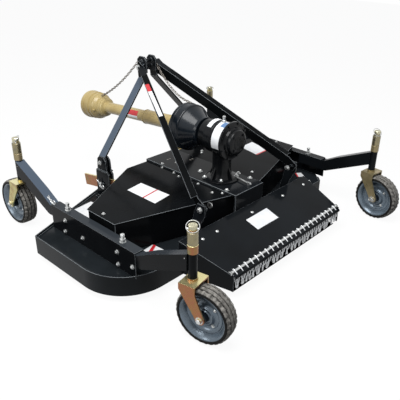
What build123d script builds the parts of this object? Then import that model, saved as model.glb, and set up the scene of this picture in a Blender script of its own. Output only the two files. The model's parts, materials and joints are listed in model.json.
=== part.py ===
# Three-point finishing mower: a low deck on four casters, with three blades driven
# through a gearbox by a driveline, an A-frame hitch and a rear discharge hood.
# Millimetres. X is the mower's right, Y is forwards to the tractor, Z is up.
# Z is 0 on the ground. The finished pieces are moved along Y so that the origin
# lies under the middle of the overall length.
from build123d import *
from math import atan2, cos, degrees, hypot, pi, radians, sin, sqrt
import os

os.makedirs("parts", exist_ok=True)

# Fits
running_gap = 0.3
touch_gap = 0.3

# Sides of the bars and tubes that repeat, so that their many facets stay few
bar_sides = 12

# Wheels
wheel_radius = 130.0
wheel_sides = 28
tyre_width = 78.0
tyre_shoulder = 9.0
bead_radius = 104.0
flange_radius = 113.0
bead_width = 58.0
rim_wall = 4.0
hub_radius = 24.0
hub_width = 86.0
axle_radius = 8.0

# Casters
stem_inset = 150.0
stem_y = 654.0
caster_trail = 66.0
stem_radius = 14.0
fork_inner_width = 90.0
fork_thickness = 7.0
fork_plate_top = 276.0
fork_plate_length = 78.0
fork_eye_radius = 22.0
fork_washer_height = 9.0
caster_tube_radius = 20.0
caster_tube_bottom = 285.6
caster_tube_top = 398.7
spacer_radius = 22.5
spacer_heights = (30.0, 67.0)
cap_radius = 18.0
cap_height = 8.0
stem_tip_height = 27.0

# Caster arms
arm_width = 50.0
arm_depth = 79.0
arm_rise = 24.5
arm_inner_end = 165.0

# Side rails
rail_inset = 124.4
rail_half_length = 328.0
rail_top = 257.0
rail_flange = 51.0
rail_wall = 6.0
screw_y = 215.0
screw_radius = 7.0
screw_stand = 40.0
screw_nut = 12.0

# Deck
deck_half_width = 902.0
deck_rear = -360.0
deck_side_front = 300.0
deck_nose = 545.0
deck_nose_half_width = 300.0
deck_plate_top = 125.0
deck_plate_thickness = 5.0
skirt_bottom = 35.0
skirt_lip_top = 138.0
skirt_wall = 5.0
corner_radius_left = 250.0
corner_cut_right = 212.0

# Rear hood
hood_front = -337.3
hood_rear = -628.0
hood_top_rear = -603.0
hood_front_half_width = 525.0
hood_rear_half_width = 462.0
hood_front_top = 214.0
hood_rear_top = 124.0
hood_wall = 4.0
hood_bottom = 38.0

# Chain curtain
rail_rod_radius = 6.0
chain_rod_y = -615.0
chain_rod_z = 121.0
chain_rod_clear = 2.5
chain_count = 24
chain_links = 3
chain_wire = 4.0
chain_link_width = 22.0
chain_link_length = 38.0
chain_seat = 1.0

# Belt covers
cover_top = 295.0
cover_wall = 3.0
cover_half_width = 722.0
cover_side_rear = -117.0
cover_side_front = 96.0
cover_rear = -326.0
cover_front = 347.0
cover_front_half_width = 270.0
cover_rear_half_width = 45.0
cover_lip = 6.0

# Gearbox and its stand
stand_half_width = 115.0
stand_thickness = 10.0
stand_front = 359.0
stand_rear = -337.0
stand_foot = 45.0
gearbox_y = -135.0
gearbox_axis_z = 538.0
gearbox_radius = 90.0
gearbox_front = -28.0
gearbox_rear = -268.0
gearbox_flange_radius = 103.0
gearbox_cap_radius = 86.0
neck_radius = 60.0
base_radius = 95.0
base_height = 18.0
input_boss_radius = 48.0
input_boss_front = 60.0
input_stub_radius = 17.0
input_stub_front = 116.0

# Input guard bell
bell_rings = [(-8.0, 80.0), (8.0, 82.0), (10.0, 77.0), (78.0, 119.0), (86.0, 129.0), (134.0, 131.0), (150.0, 128.0)]
bell_wall = 4.0
bell_sides = 24

# Driveline
driveline_start_y = 113.0
driveline_drop = 4.17
driveline_length = 942.0
shaft_radius = 19.0
shaft_end_gap = 10.0
yoke_seat = 58.0
yoke_radius = 34.0
yoke_bore = 17.5
rear_hub_length = 62.0
guard_inner_radius = 35.0
guard_outer_radius = 42.0
guard_wall = 3.0
guard_overlap = 363.0
guard_lap = 80.0
guard_start = 34.0
guard_bearing = 118.0
guard_front_gap = 18.0
front_bell_rings = [(0.0, 35.0), (12.0, 56.0), (44.0, 62.0), (56.0, 76.0), (104.0, 82.0), (176.0, 88.0)]
guard_bearing_width = 12.0

# Hitch
hitch_x = 382.0
hitch_y = 406.0
hitch_plate_wall = 8.0
hitch_gap = 20.0
hitch_depth = 114.0
hitch_box_top = 305.0
hitch_lip = 7.0
hitch_ear_width = 84.0
hitch_ear_top = 384.0
hitch_foot_width = 70.0
lug_thickness = 12.0
lug_height = 66.0
lug_pitch = 9.4
lug_pivot_z = 218.0
lug_front = 194.0
lug_rear = 108.0
lug_pin_radius = 9.0
lug_pin_back = 36.0
lug_collar = 4.0
lower_pin_radius = 11.0
lower_pin_length = 62.0

# Mast
mast_pivot_z = 352.0
mast_apex_z = 820.0
mast_apex_y = 455.0
mast_apex_half_width = 40.0
mast_bar_width = 56.0
mast_bar_thickness = 10.0
mast_tab = 30.0
leg_tab = 60.0
leg_tab_end = 17.0
mast_bolt_radius = 8.0
head_plate_height = 88.0
head_plate_length = 78.0
head_plate_thickness = 10.0
top_pin_radius = 9.5
top_pin_rise = 31.0
brace_foot_x = 372.0
brace_foot_y = -346.0
brace_foot_z = 330.0
brace_width = 50.0
brace_flange = 40.0
brace_thickness = 6.0
brace_flange_high = 84.0
brace_flange_low = 64.0
foot_width = 60.0
foot_front = -258.0
foot_rear = -332.0
foot_thickness = 8.0

# Blades
outer_spindle_x = 565.0
outer_spindle_y = -40.0
centre_spindle_y = 140.0
blade_radius = 290.0
blade_width = 62.0
blade_thickness = 6.0
blade_z = 52.0
spindle_radius = 15.0
spindle_flange_radius = 70.0
spindle_flange_height = 10.0
spindle_body_radius = 38.0
spindle_body_bottom = 82.0

# Places that follow from the deck's width
rail_x = deck_half_width - rail_inset
stem_x = deck_half_width - stem_inset

pieces = {}


def box(x, y, z):
    """A block between two values of each of x, y and z."""
    size = (x[1] - x[0], y[1] - y[0], z[1] - z[0])
    middle = ((x[0] + x[1]) / 2, (y[0] + y[1]) / 2, (z[0] + z[1]) / 2)
    return Pos(*middle) * Box(*size)


def rod(start, end, radius, sides=None):
    """A round bar between two points, or a many-sided one."""
    start, end = Vector(*start), Vector(*end)
    line = end - start
    across = Plane(origin=start, z_dir=line)
    if sides is None:
        return Solid.make_cylinder(radius, line.length, across)
    return across * extrude(RegularPolygon(radius, sides), line.length)


def turned(points, sides):
    """A many-sided turned piece about Z, from its closed (z, radius) outline."""
    ways = [(cos(2 * pi * i / sides), sin(2 * pi * i / sides)) for i in range(sides)]
    faces = []
    for (z0, r0), (z1, r1) in zip(points, points[1:] + points[:1]):
        for a, b in zip(ways, ways[1:] + ways[:1]):
            ring = [(r0 * a[0], r0 * a[1], z0), (r0 * b[0], r0 * b[1], z0)]
            ring += [(r1 * b[0], r1 * b[1], z1), (r1 * a[0], r1 * a[1], z1)]
            corners = [p for k, p in enumerate(ring) if p != ring[k - 1]]
            if len(corners) > 2:
                faces.append(Face(Wire.make_polygon(corners)))
    return Solid(Shell(faces))


def prism(points, low, high):
    """An upright prism over an outline of straight sides."""
    return Pos(0, 0, low) * extrude(make_face(Polyline(*points, close=True)), high - low)


def turned_about_x(points, sides):
    return Rot(0, 90, 0) * turned(points, sides)


def turned_about_y(points, sides):
    return Rot(-90, 0, 0) * turned(points, sides)


def side_plate(points, x, thickness):
    """A plate square to X, from its outline in (y, z)."""
    face = make_face(Polyline(*points, close=True))
    return Plane(origin=(x, 0, 0), x_dir=(0, 1, 0), z_dir=(1, 0, 0)) * extrude(face, thickness)


def mirrored(shape):
    """The same piece on the other side of the mower."""
    return mirror(shape, about=Plane.YZ)


def deck_outline(inset):
    """The deck's edge seen from above, moved in by a distance."""
    half = deck_half_width - inset
    rear = deck_rear + inset
    slope = atan2(deck_nose - deck_side_front, deck_half_width - deck_nose_half_width)
    side_front = deck_side_front - inset / cos(slope) + inset * sin(slope) / cos(slope)
    nose = deck_nose - inset
    nose_half = half - (nose - side_front) * cos(slope) / sin(slope)
    radius = corner_radius_left - inset
    cut = corner_cut_right - inset * (2 - sqrt(2))
    arc_middle = radius * sqrt(0.5)
    edges = [
        Line((-half, rear + radius), (-half, side_front)),
        Line((-half, side_front), (-nose_half, nose)),
        Line((-nose_half, nose), (nose_half, nose)),
        Line((nose_half, nose), (half, side_front)),
        Line((half, side_front), (half, rear + cut)),
        Line((half, rear + cut), (half - cut, rear)),
        Line((half - cut, rear), (radius - half, rear)),
        ThreePointArc(
            (radius - half, rear),
            (radius - half - arc_middle, rear + radius - arc_middle),
            (-half, rear + radius),
        ),
    ]
    return make_face(edges)


def hood_outline(inset, rear_extra=0.0):
    """The hood seen from above."""
    front = hood_front_half_width - inset
    rear = hood_rear_half_width - inset
    y_rear = hood_rear - rear_extra
    return [(-front, hood_front), (front, hood_front), (rear, y_rear), (-rear, y_rear)]


def under_slope(drop, reach):
    """The space under the hood's sloping top, moved down by a distance."""
    slope = (hood_front_top - hood_rear_top) / (hood_front - hood_rear)
    rear_y = hood_rear - reach
    front_y = hood_front + reach
    points = [
        (rear_y, 0),
        (front_y, 0),
        (front_y, hood_front_top - drop + slope * reach),
        (rear_y, hood_rear_top - drop - slope * reach),
    ]
    return side_plate(points, -deck_half_width, 2 * deck_half_width)


def make_deck():
    plate_low = deck_plate_top - deck_plate_thickness
    shell = Pos(0, 0, skirt_bottom) * extrude(deck_outline(0), skirt_lip_top - skirt_bottom)
    inner = deck_outline(skirt_wall)
    shell -= Pos(0, 0, skirt_bottom) * extrude(inner, plate_low - skirt_bottom)
    shell -= Pos(0, 0, deck_plate_top) * extrude(inner, skirt_lip_top - deck_plate_top)
    outlet_half = hood_rear_half_width - hood_wall
    rear_lip = (deck_rear - 1, deck_rear + skirt_wall)
    shell -= box((-outlet_half, outlet_half), rear_lip, (0, plate_low))
    hood_half = hood_front_half_width + touch_gap
    shell -= box((-hood_half, hood_half), rear_lip, (deck_plate_top, skirt_lip_top))
    rail_room = (rail_x - rail_flange, rail_x + touch_gap)
    for x in (rail_room, (-rail_room[1], -rail_room[0])):
        shell -= box(x, (-rail_half_length - touch_gap, rail_half_length), (deck_plate_top, skirt_lip_top))
    for x, y in spindle_places():
        shell -= Pos(x, y, plate_low) * extrude(Circle(spindle_body_radius - 8), deck_plate_thickness)
    return shell


def spindle_places():
    return [
        (-outer_spindle_x, outer_spindle_y),
        (0.0, centre_spindle_y),
        (outer_spindle_x, outer_spindle_y),
    ]


def make_hood():
    """A folded sheet over the rear outlet: sloping top, front upstand and two side walls."""
    across = (-deck_half_width, deck_half_width)
    shell = prism(hood_outline(0), deck_plate_top + touch_gap, hood_front_top) & under_slope(0, 0)
    behind_deck = box(across, (hood_rear, deck_rear - touch_gap), (hood_bottom, deck_plate_top + 5))
    shell += prism(hood_outline(0), hood_bottom, deck_plate_top + 5) & behind_deck
    inner = prism(hood_outline(hood_wall, 5), 0, hood_front_top) & under_slope(hood_wall, 20)
    inner &= box(across, (hood_rear - 10, hood_front - hood_wall), (0, hood_front_top))
    tail = prism(hood_outline(hood_wall, 5), 0, hood_front_top)
    tail &= box(across, (hood_rear - 10, hood_top_rear), (0, hood_front_top))
    return shell - inner - tail


def make_chain_rail():
    """The rod along the hood's rear edge, with its short hanging chains."""
    half = hood_rear_half_width - hood_wall + chain_rod_clear - touch_gap
    ends = [(x, chain_rod_y, chain_rod_z) for x in (-half, half)]
    rail = rod(ends[0], ends[1], rail_rod_radius, 8)
    pitch = 2 * (half - chain_link_width) / (chain_count - 1)
    top = chain_rod_z + rail_rod_radius + chain_wire - chain_seat
    links = []
    for i in range(chain_count):
        x = -half + chain_link_width + i * pitch
        for k in range(chain_links):
            z = top - chain_link_length / 2 - k * (chain_link_length - 2 * chain_wire)
            turn = 90 if k % 2 == 0 else 0
            links.append(Pos(x, chain_rod_y, z) * Rot(0, 0, turn) * make_link())
    return rail.fuse(*links)


def make_link():
    """One chain link standing upright, its flat side to Y."""
    link = Box(chain_link_width, chain_wire, chain_link_length)
    eye = Box(chain_link_width - 2 * chain_wire, chain_wire, chain_link_length - 2 * chain_wire)
    return link - eye


def make_rail(side):
    """An angle rail on the deck, with the screws that bear on the caster arms."""
    along = (-rail_half_length, rail_half_length)
    rail = box((rail_x - rail_wall, rail_x), along, (deck_plate_top + touch_gap, rail_top))
    rail += box((rail_x - rail_flange, rail_x), along, (rail_top - rail_wall, rail_top))
    for y in (-screw_y, screw_y):
        foot = arm_inner_top() + running_gap
        screw = extrude(RegularPolygon(screw_radius, bar_sides), rail_top + screw_stand - foot)
        rail += Pos(stem_x, y, foot) * screw
        rail += Pos(stem_x, y, rail_top) * extrude(RegularPolygon(screw_nut, 6), screw_nut)
    return rail if side > 0 else mirrored(rail)


def arm_inner_top():
    """Height of a caster arm's top face inside its rail."""
    return rail_top - rail_wall - touch_gap


def make_arm(side, end):
    """A caster arm with its upright tube, drawn at the right front."""
    slope = sin(radians(arm_rise)) / cos(radians(arm_rise))
    low = deck_plate_top + touch_gap + 66
    high = arm_inner_top()
    tube_face = stem_y - caster_tube_radius / 2
    lower_bend = rail_half_length + 36
    top_at_tube = caster_tube_top - 2
    top_start = rail_half_length + 14
    top_bend = rail_half_length + 100
    top_bend_z = top_at_tube - (tube_face - top_bend) * slope
    points = [
        (arm_inner_end, low),
        (lower_bend, low),
        (tube_face, low + (tube_face - lower_bend) * slope),
        (tube_face, top_at_tube),
        (top_bend, top_bend_z),
        (top_start, high),
        (arm_inner_end, high),
    ]
    inner_face = stem_x - arm_width / 2
    tube_length = caster_tube_top - caster_tube_bottom
    arm = side_plate(points, inner_face, arm_width)
    room = rail_x - rail_wall - touch_gap
    arm -= box((room, rail_x + 10), (arm_inner_end - 1, rail_half_length + touch_gap), (0, 400))
    tube = Pos(stem_x, stem_y, caster_tube_bottom) * extrude(RegularPolygon(caster_tube_radius, bar_sides), tube_length)
    bore = Pos(stem_x, stem_y, 0) * extrude(RegularPolygon(stem_radius + 2 * running_gap, bar_sides), 600)
    arm = arm + tube - bore
    if side < 0 and end < 0:
        return Rot(0, 0, 180) * arm
    if end < 0:
        return mirror(arm, about=Plane.XZ)
    return arm if side > 0 else mirrored(arm)


def make_fork():
    """A fork about its own stem, with the wheel trailing to -Y."""
    half = fork_inner_width / 2
    outer = half + fork_thickness
    axle_z = wheel_radius
    plate_low = fork_plate_top - fork_thickness
    top_front = fork_plate_length / 2 - 4
    top_rear = top_front - fork_plate_length
    plate = box((-outer, outer), (top_rear, top_front), (plate_low, fork_plate_top))
    leg = [
        (top_front, fork_plate_top),
        (top_front, plate_low - 22),
        (-caster_trail + fork_eye_radius, axle_z),
        (-caster_trail - fork_eye_radius, axle_z),
        (top_rear, plate_low - 30),
        (top_rear, fork_plate_top),
    ]
    fork = plate
    axle = (-caster_trail, axle_z)
    for x in (half, -outer):
        fork += side_plate(leg, x, fork_thickness)
        fork += rod((x, *axle), (x + fork_thickness, *axle), fork_eye_radius, bar_sides)
    fork += rod((-outer - 9, *axle), (outer + 9, *axle), axle_radius, bar_sides)
    fork += rod((-outer - 8, *axle), (-outer, *axle), axle_radius + 5, 6)
    fork += rod((outer, *axle), (outer + 8, *axle), axle_radius + 5, 6)
    washer_top = fork_plate_top + fork_washer_height
    spacer_top = caster_tube_top + running_gap + sum(spacer_heights)
    head = spacer_top + touch_gap
    stem = [
        (fork_plate_top, 0),
        (fork_plate_top, spacer_radius),
        (washer_top, spacer_radius),
        (washer_top, stem_radius),
        (head, stem_radius),
        (head, cap_radius),
        (head + cap_height, cap_radius),
        (head + cap_height, stem_radius),
        (head + stem_tip_height, stem_radius),
        (head + stem_tip_height, 0),
    ]
    return fork + turned(stem, bar_sides)


def make_spacers():
    """Two loose rings that set the cutting height, stacked on the caster tube."""
    low = caster_tube_top + running_gap
    rings = []
    for height in spacer_heights:
        high = low + height - touch_gap
        bore = stem_radius + touch_gap
        rings.append(turned([(low, bore), (low, spacer_radius), (high, spacer_radius), (high, bore)], bar_sides))
        low += height
    return Compound(children=rings)


def make_tyre():
    half = tyre_width / 2
    bead = bead_width / 2
    flange = bead + rim_wall
    points = [
        (-bead, bead_radius),
        (bead, bead_radius),
        (flange, flange_radius),
        (half, flange_radius + 3),
        (half, wheel_radius - tyre_shoulder),
        (half - tyre_shoulder, wheel_radius),
        (tyre_shoulder - half, wheel_radius),
        (-half, wheel_radius - tyre_shoulder),
        (-half, flange_radius + 3),
        (-flange, flange_radius),
    ]
    return turned_about_x(points, wheel_sides)


def make_rim():
    """A pressed disc rim: the flange, the dish and the hub, the same on both sides."""
    bead = bead_width / 2
    disc = rim_wall / 2 + 1
    bore = axle_radius + running_gap
    half = [
        (hub_width / 2, bore),
        (hub_width / 2, hub_radius),
        (disc, hub_radius + 12),
        (disc, bead_radius - rim_wall - 12),
        (bead + rim_wall - 2, bead_radius - 2),
        (bead + rim_wall, flange_radius),
        (bead, bead_radius),
    ]
    points = half + [(-x, r) for x, r in reversed(half)]
    return turned_about_x(points, wheel_sides)


def place_casters():
    corners = [
        ("front_left", -1, 1, 180.0),
        ("front_right", 1, 1, 180.0),
        ("rear_left", -1, -1, 11.0),
        ("rear_right", 1, -1, -5.5),
    ]
    for name, side, end, swivel in corners:
        pieces["caster_arm_" + name] = make_arm(side, end)
        stem = Pos(side * stem_x, end * stem_y, 0) * Rot(0, 0, swivel)
        wheel = stem * Pos(0, -caster_trail, wheel_radius)
        pieces["caster_fork_" + name] = stem * make_fork()
        pieces["caster_spacers_" + name] = stem * make_spacers()
        pieces["tyre_" + name] = wheel * make_tyre()
        pieces["rim_" + name] = wheel * make_rim()


def cover_outline(inset):
    """The left cover seen from above, moved in by a distance from its outer edge."""
    return [
        (-touch_gap / 2, cover_front - inset),
        (-cover_front_half_width + inset / 2, cover_front - inset),
        (-cover_half_width + inset, cover_side_front - inset / 2),
        (-cover_half_width + inset, cover_side_rear + inset / 2),
        (-cover_rear_half_width, cover_rear + inset),
        (-touch_gap / 2, cover_rear + inset),
    ]


def make_cover(side):
    top_low = cover_top - cover_wall
    bottom = deck_plate_top + touch_gap
    cover = prism(cover_outline(0), top_low, cover_top)
    walls = prism(cover_outline(cover_lip), bottom, top_low)
    walls -= prism(cover_outline(cover_lip + cover_wall), bottom, top_low)
    cover += walls
    return cover if side < 0 else mirrored(cover)


def make_stand():
    low = cover_top + touch_gap
    high = low + stand_thickness
    half = stand_half_width
    deck = deck_plate_top + touch_gap
    stand = box((-half, half), (stand_rear, stand_front), (low, high))
    stand += box((-half, half), (stand_front - stand_thickness, stand_front), (deck, high))
    stand += box((-half, half), (stand_rear, stand_rear + stand_thickness), (deck, high))
    stand += box((-half, half), (stand_front, stand_front + stand_foot), (deck, deck + stand_thickness))
    return stand


def make_gearbox():
    """A right-angle gearbox: foot, neck, ribbed barrel with flanges, and the input boss."""
    floor = cover_top + touch_gap + stand_thickness
    foot_top = floor + base_height
    base = [(floor, 0), (floor, base_radius), (foot_top, base_radius - 4), (foot_top + 14, neck_radius)]
    neck = turned(base + [(gearbox_axis_z, neck_radius - 4), (gearbox_axis_z, 0)], bell_sides)
    cap_front = gearbox_rear + 18
    flange_front = gearbox_rear + 74
    stations = [
        (gearbox_rear, 0),
        (gearbox_rear, gearbox_cap_radius - 8),
        (gearbox_rear + 8, gearbox_cap_radius),
        (cap_front, gearbox_cap_radius),
        (cap_front, gearbox_radius - 16),
        (flange_front - 14, gearbox_radius - 16),
        (flange_front - 14, gearbox_flange_radius),
        (flange_front, gearbox_flange_radius),
        (flange_front, gearbox_radius),
        (gearbox_front - 46, gearbox_radius),
        (gearbox_front - 40, gearbox_radius - 8),
        (gearbox_front, gearbox_radius - 10),
        (gearbox_front, input_boss_radius),
        (input_boss_front, input_boss_radius),
        (input_boss_front, 0),
    ]
    barrel = Pos(0, 0, gearbox_axis_z) * turned_about_y(stations, bell_sides)
    front = (0, input_boss_front, gearbox_axis_z)
    stub = rod(front, (0, input_stub_front, gearbox_axis_z), input_stub_radius)
    return Pos(0, gearbox_y, 0) * neck + barrel + stub


def make_input_bell():
    """The moulded bell over the gearbox's input: a collar, a taper, a raised band, a drum."""
    rear = bell_rings[0][0]
    seat = input_boss_radius + touch_gap
    inside = [(y, r - bell_wall) for y, r in bell_rings[2:]]
    floor = rear + 3 * bell_wall
    collar = [(floor, bell_rings[2][1] - bell_wall), (floor, seat), (rear, seat)]
    return Pos(0, 0, gearbox_axis_z) * turned_about_y(bell_rings + inside[:0:-1] + collar, bell_sides)


def driveline_place():
    """The driveline's own frame: its Z runs along the shaft from the gearbox to the tractor."""
    drop = radians(driveline_drop)
    way = (0, cos(drop), -sin(drop))
    return Plane(origin=(0, driveline_start_y, gearbox_axis_z), x_dir=(1, 0, 0), z_dir=way).location


def make_driveline():
    """One straight driveline: rear hub on the gearbox stub, joints, shaft, front yoke."""
    stub_bore = input_stub_radius + touch_gap
    shaft_front = driveline_length - yoke_seat - shaft_end_gap
    hub = turned([
        (0, stub_bore),
        (0, yoke_radius - 8),
        (rear_hub_length, yoke_radius - 8),
        (rear_hub_length, stub_bore),
    ], bell_sides)
    shaft_length = shaft_front - rear_hub_length + 30
    shaft = Pos(0, 0, rear_hub_length - 30) * extrude(RegularPolygon(shaft_radius, bar_sides), shaft_length)
    joint = Pos(0, 0, rear_hub_length + 14) * Box(56, 34, 30)
    front_joint = Pos(0, 0, shaft_front - 34) * Box(56, 34, 30)
    seat = driveline_length - yoke_seat
    front = turned([
        (shaft_front - 20, 0),
        (shaft_front - 20, yoke_radius),
        (driveline_length, yoke_radius - 6),
        (driveline_length, 0),
    ], bell_sides)
    front -= Pos(0, 0, seat) * extrude(Circle(yoke_bore), yoke_seat)
    return hub + shaft + joint + front_joint + front


def make_driveline_guard():
    """The two telescoping guard tubes; the front one carries its own bell."""
    bearing = shaft_radius + running_gap
    outer_bore = guard_outer_radius - guard_wall
    outer = turned([
        (guard_start, outer_bore),
        (guard_start, guard_outer_radius),
        (guard_overlap, guard_outer_radius),
        (guard_overlap, outer_bore),
        (guard_bearing + guard_bearing_width, outer_bore),
        (guard_bearing + guard_bearing_width, bearing),
        (guard_bearing, bearing),
        (guard_bearing, outer_bore),
    ], bell_sides)
    bell_start = driveline_length - guard_front_gap - front_bell_rings[-1][0]
    bell = [(bell_start + z, r) for z, r in front_bell_rings]
    inside = [(z, r - guard_wall) for z, r in bell[1:]]
    lap = guard_overlap - guard_lap
    inner = turned([
        (lap, guard_inner_radius - guard_wall),
        (lap, guard_outer_radius - guard_wall),
        (guard_overlap, guard_outer_radius - guard_wall),
        (guard_overlap, guard_inner_radius),
        *bell,
        *inside[::-1],
        (bell_start + guard_wall, guard_inner_radius - guard_wall),
        (bell_start + guard_wall, bearing),
        (bell_start - guard_bearing_width, bearing),
        (bell_start - guard_bearing_width, guard_inner_radius - guard_wall),
    ], bell_sides)
    return outer, inner


def make_hitch(side):
    """Two close plates on the deck's nose with ears for the mast leg and the floating lug."""
    outer = hitch_x + hitch_gap / 2
    inner = hitch_x - hitch_gap / 2
    y0 = hitch_y - hitch_depth / 2
    y1 = hitch_y + hitch_depth / 2
    low = deck_plate_top + touch_gap
    shoulder = (hitch_depth - hitch_ear_width) / 2
    profile = [
        (y0, low),
        (y1, low),
        (y1, hitch_box_top - shoulder),
        (y1 - shoulder, hitch_box_top),
        (y1 - shoulder - 6, hitch_ear_top - 16),
        (y1 - shoulder - 22, hitch_ear_top),
        (y0 + shoulder + 22, hitch_ear_top),
        (y0 + shoulder + 6, hitch_ear_top - 16),
        (y0 + shoulder, hitch_box_top),
        (y0, hitch_box_top - shoulder),
    ]
    bracket = side_plate(profile, outer, hitch_plate_wall)
    bracket += side_plate(profile, inner - hitch_plate_wall, hitch_plate_wall)
    foot = (hitch_x - hitch_foot_width / 2, hitch_x + hitch_foot_width / 2)
    bracket += box(foot, (y0, y1), (low, low + hitch_plate_wall))
    lip = (hitch_box_top - hitch_lip, hitch_box_top)
    lip_y = (y0 + shoulder, y1 - shoulder)
    bracket += box((outer + hitch_plate_wall, outer + hitch_plate_wall + 9), lip_y, lip)
    bracket += box((inner - hitch_plate_wall - 9, inner - hitch_plate_wall), lip_y, lip)
    reach = (inner - hitch_plate_wall - 9, outer + hitch_plate_wall + 9)
    for z, radius in ((mast_pivot_z, mast_bolt_radius), (lug_pivot_z, lug_pin_radius)):
        bracket += rod((reach[0], hitch_y, z), (reach[1], hitch_y, z), radius, bar_sides)
    return bracket if side > 0 else mirrored(bracket)


def lug_place():
    """The floating lug's own frame: X stays across, Y runs along it, at its pivot."""
    return Pos(0, hitch_y, lug_pivot_z) * Rot(-lug_pitch, 0, 0)


def make_lug(side):
    """A plated strap between the bracket's plates, with the lower link's pin inside."""
    inner = hitch_x - lug_thickness / 2
    half = lug_height / 2
    profile = [
        (-lug_rear, -half + 14),
        (14 - lug_rear, -half),
        (lug_front, -half),
        (lug_front, half),
        (14 - lug_rear, half),
        (-lug_rear, half - 14),
    ]
    lug = side_plate(profile, inner, lug_thickness)
    lug -= rod((inner, 0, 0), (inner + lug_thickness, 0, 0), lug_pin_radius + touch_gap, bar_sides)
    pin_y = lug_front - lug_pin_back
    collar = inner - lug_collar
    lug += rod((inner, pin_y, 0), (collar, pin_y, 0), lower_pin_radius + 6, bar_sides)
    lug += rod((inner, pin_y, 0), (collar - lower_pin_length, pin_y, 0), lower_pin_radius)
    lug = lug_place() * lug
    return lug if side > 0 else mirrored(lug)


def bent_strip(points, thickness):
    """The edge view of a bent strip: its centre line drawn out to both sides."""
    middle = [Vector(*p) for p in points]
    ways = [(b - a).normalized() for a, b in zip(middle, middle[1:])]
    ways = [ways[0]] + ways + [ways[-1]]
    left = []
    right = []
    for point, before, after in zip(middle, ways, ways[1:]):
        side = Vector(-(before.Y + after.Y), before.X + after.X).normalized()
        reach = thickness / 2 / (side.X * -before.Y + side.Y * before.X)
        left.append(point + side * reach)
        right.append(point - side * reach)
    return make_face(Polyline(*(left + right[::-1]), close=True))


def make_mast_leg(side):
    """A flat bar from the hitch bracket to the mast head, bent upright at both ends."""
    lean = Vector(0, mast_apex_y - hitch_y, mast_apex_z - mast_pivot_z)
    x_low = hitch_x + hitch_gap / 2 - touch_gap - mast_bar_thickness / 2
    x_high = mast_apex_half_width + touch_gap + mast_bar_thickness / 2
    line = [
        (x_low, -mast_tab),
        (x_low, mast_tab),
        (x_high, lean.length - leg_tab),
        (x_high, lean.length + leg_tab_end),
    ]
    pivot = (0, hitch_y, mast_pivot_z)
    front = Plane(origin=pivot, x_dir=(1, 0, 0), z_dir=(0, -lean.Z, lean.Y))
    leg = front * extrude(bent_strip(line, mast_bar_thickness), mast_bar_width / 2, both=True)
    for y, z in ((hitch_y, mast_pivot_z), (mast_apex_y, mast_apex_z)):
        leg -= rod((0, y, z), (hitch_x + hitch_gap, y, z), mast_bolt_radius + touch_gap, bar_sides)
    return leg if side > 0 else mirrored(leg)


def make_brace(side):
    """An angle iron from the mast head down to its foot, its upper leaf turned outwards."""
    x_high = mast_apex_half_width + 2 * touch_gap + mast_bar_thickness + brace_thickness / 2
    plan = [
        (x_high, mast_apex_y + mast_tab),
        (x_high, mast_apex_y - mast_tab),
        (brace_foot_x, brace_foot_y + mast_tab),
        (brace_foot_x, brace_foot_y - mast_tab),
    ]
    strip = extrude(bent_strip(plan, brace_thickness), mast_apex_z + 100)
    leaf_plan = [(x + brace_flange / 2, y) for x, y in plan]
    leaf_strip = extrude(bent_strip(leaf_plan, brace_flange), mast_apex_z + 100)
    low = Vector(brace_foot_y, brace_foot_z)
    high = Vector(mast_apex_y, mast_apex_z)
    way = (high - low).normalized()
    overhang = way * (brace_width / 2)
    across = Vector(-way.Y, way.X)
    side_view = Plane(origin=(0, 0, 0), x_dir=(0, 1, 0), z_dir=(1, 0, 0))
    band = side_view * extrude(bent_strip([low - overhang, high + overhang], brace_width), deck_half_width)
    edge = across * ((brace_width - brace_thickness) / 2)
    leaf_line = [low + way * brace_flange_low + edge, high - way * brace_flange_high + edge]
    leaf_band = side_view * extrude(bent_strip(leaf_line, brace_thickness), deck_half_width)
    brace = (strip & band) + (leaf_strip & leaf_band)
    for y, z in ((mast_apex_y, mast_apex_z), (brace_foot_y, brace_foot_z)):
        brace -= rod((0, y, z), (deck_half_width, y, z), mast_bolt_radius + touch_gap, bar_sides)
    return brace if side > 0 else mirrored(brace)


def make_foot(side):
    """An angle on the deck that the brace is bolted to."""
    inner = brace_foot_x + brace_thickness / 2 + touch_gap
    outer = inner + foot_thickness
    low = deck_plate_top + touch_gap
    high = brace_foot_z + 24
    profile = [
        (foot_rear, low),
        (foot_front, low),
        (brace_foot_y + 46, brace_foot_z - 30),
        (brace_foot_y + 24, high),
        (brace_foot_y - 26, high),
        (brace_foot_y - 26, brace_foot_z - 30),
        (foot_rear, hood_front_top + 12),
    ]
    foot = side_plate(profile, inner, foot_thickness)
    foot += box((outer - foot_width, outer), (foot_rear, foot_front), (low, low + foot_thickness))
    bolt_start = brace_foot_x - brace_thickness / 2 - 8
    start = (bolt_start, brace_foot_y, brace_foot_z)
    foot += rod(start, (outer + 8, brace_foot_y, brace_foot_z), mast_bolt_radius, bar_sides)
    return foot if side > 0 else mirrored(foot)


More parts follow.
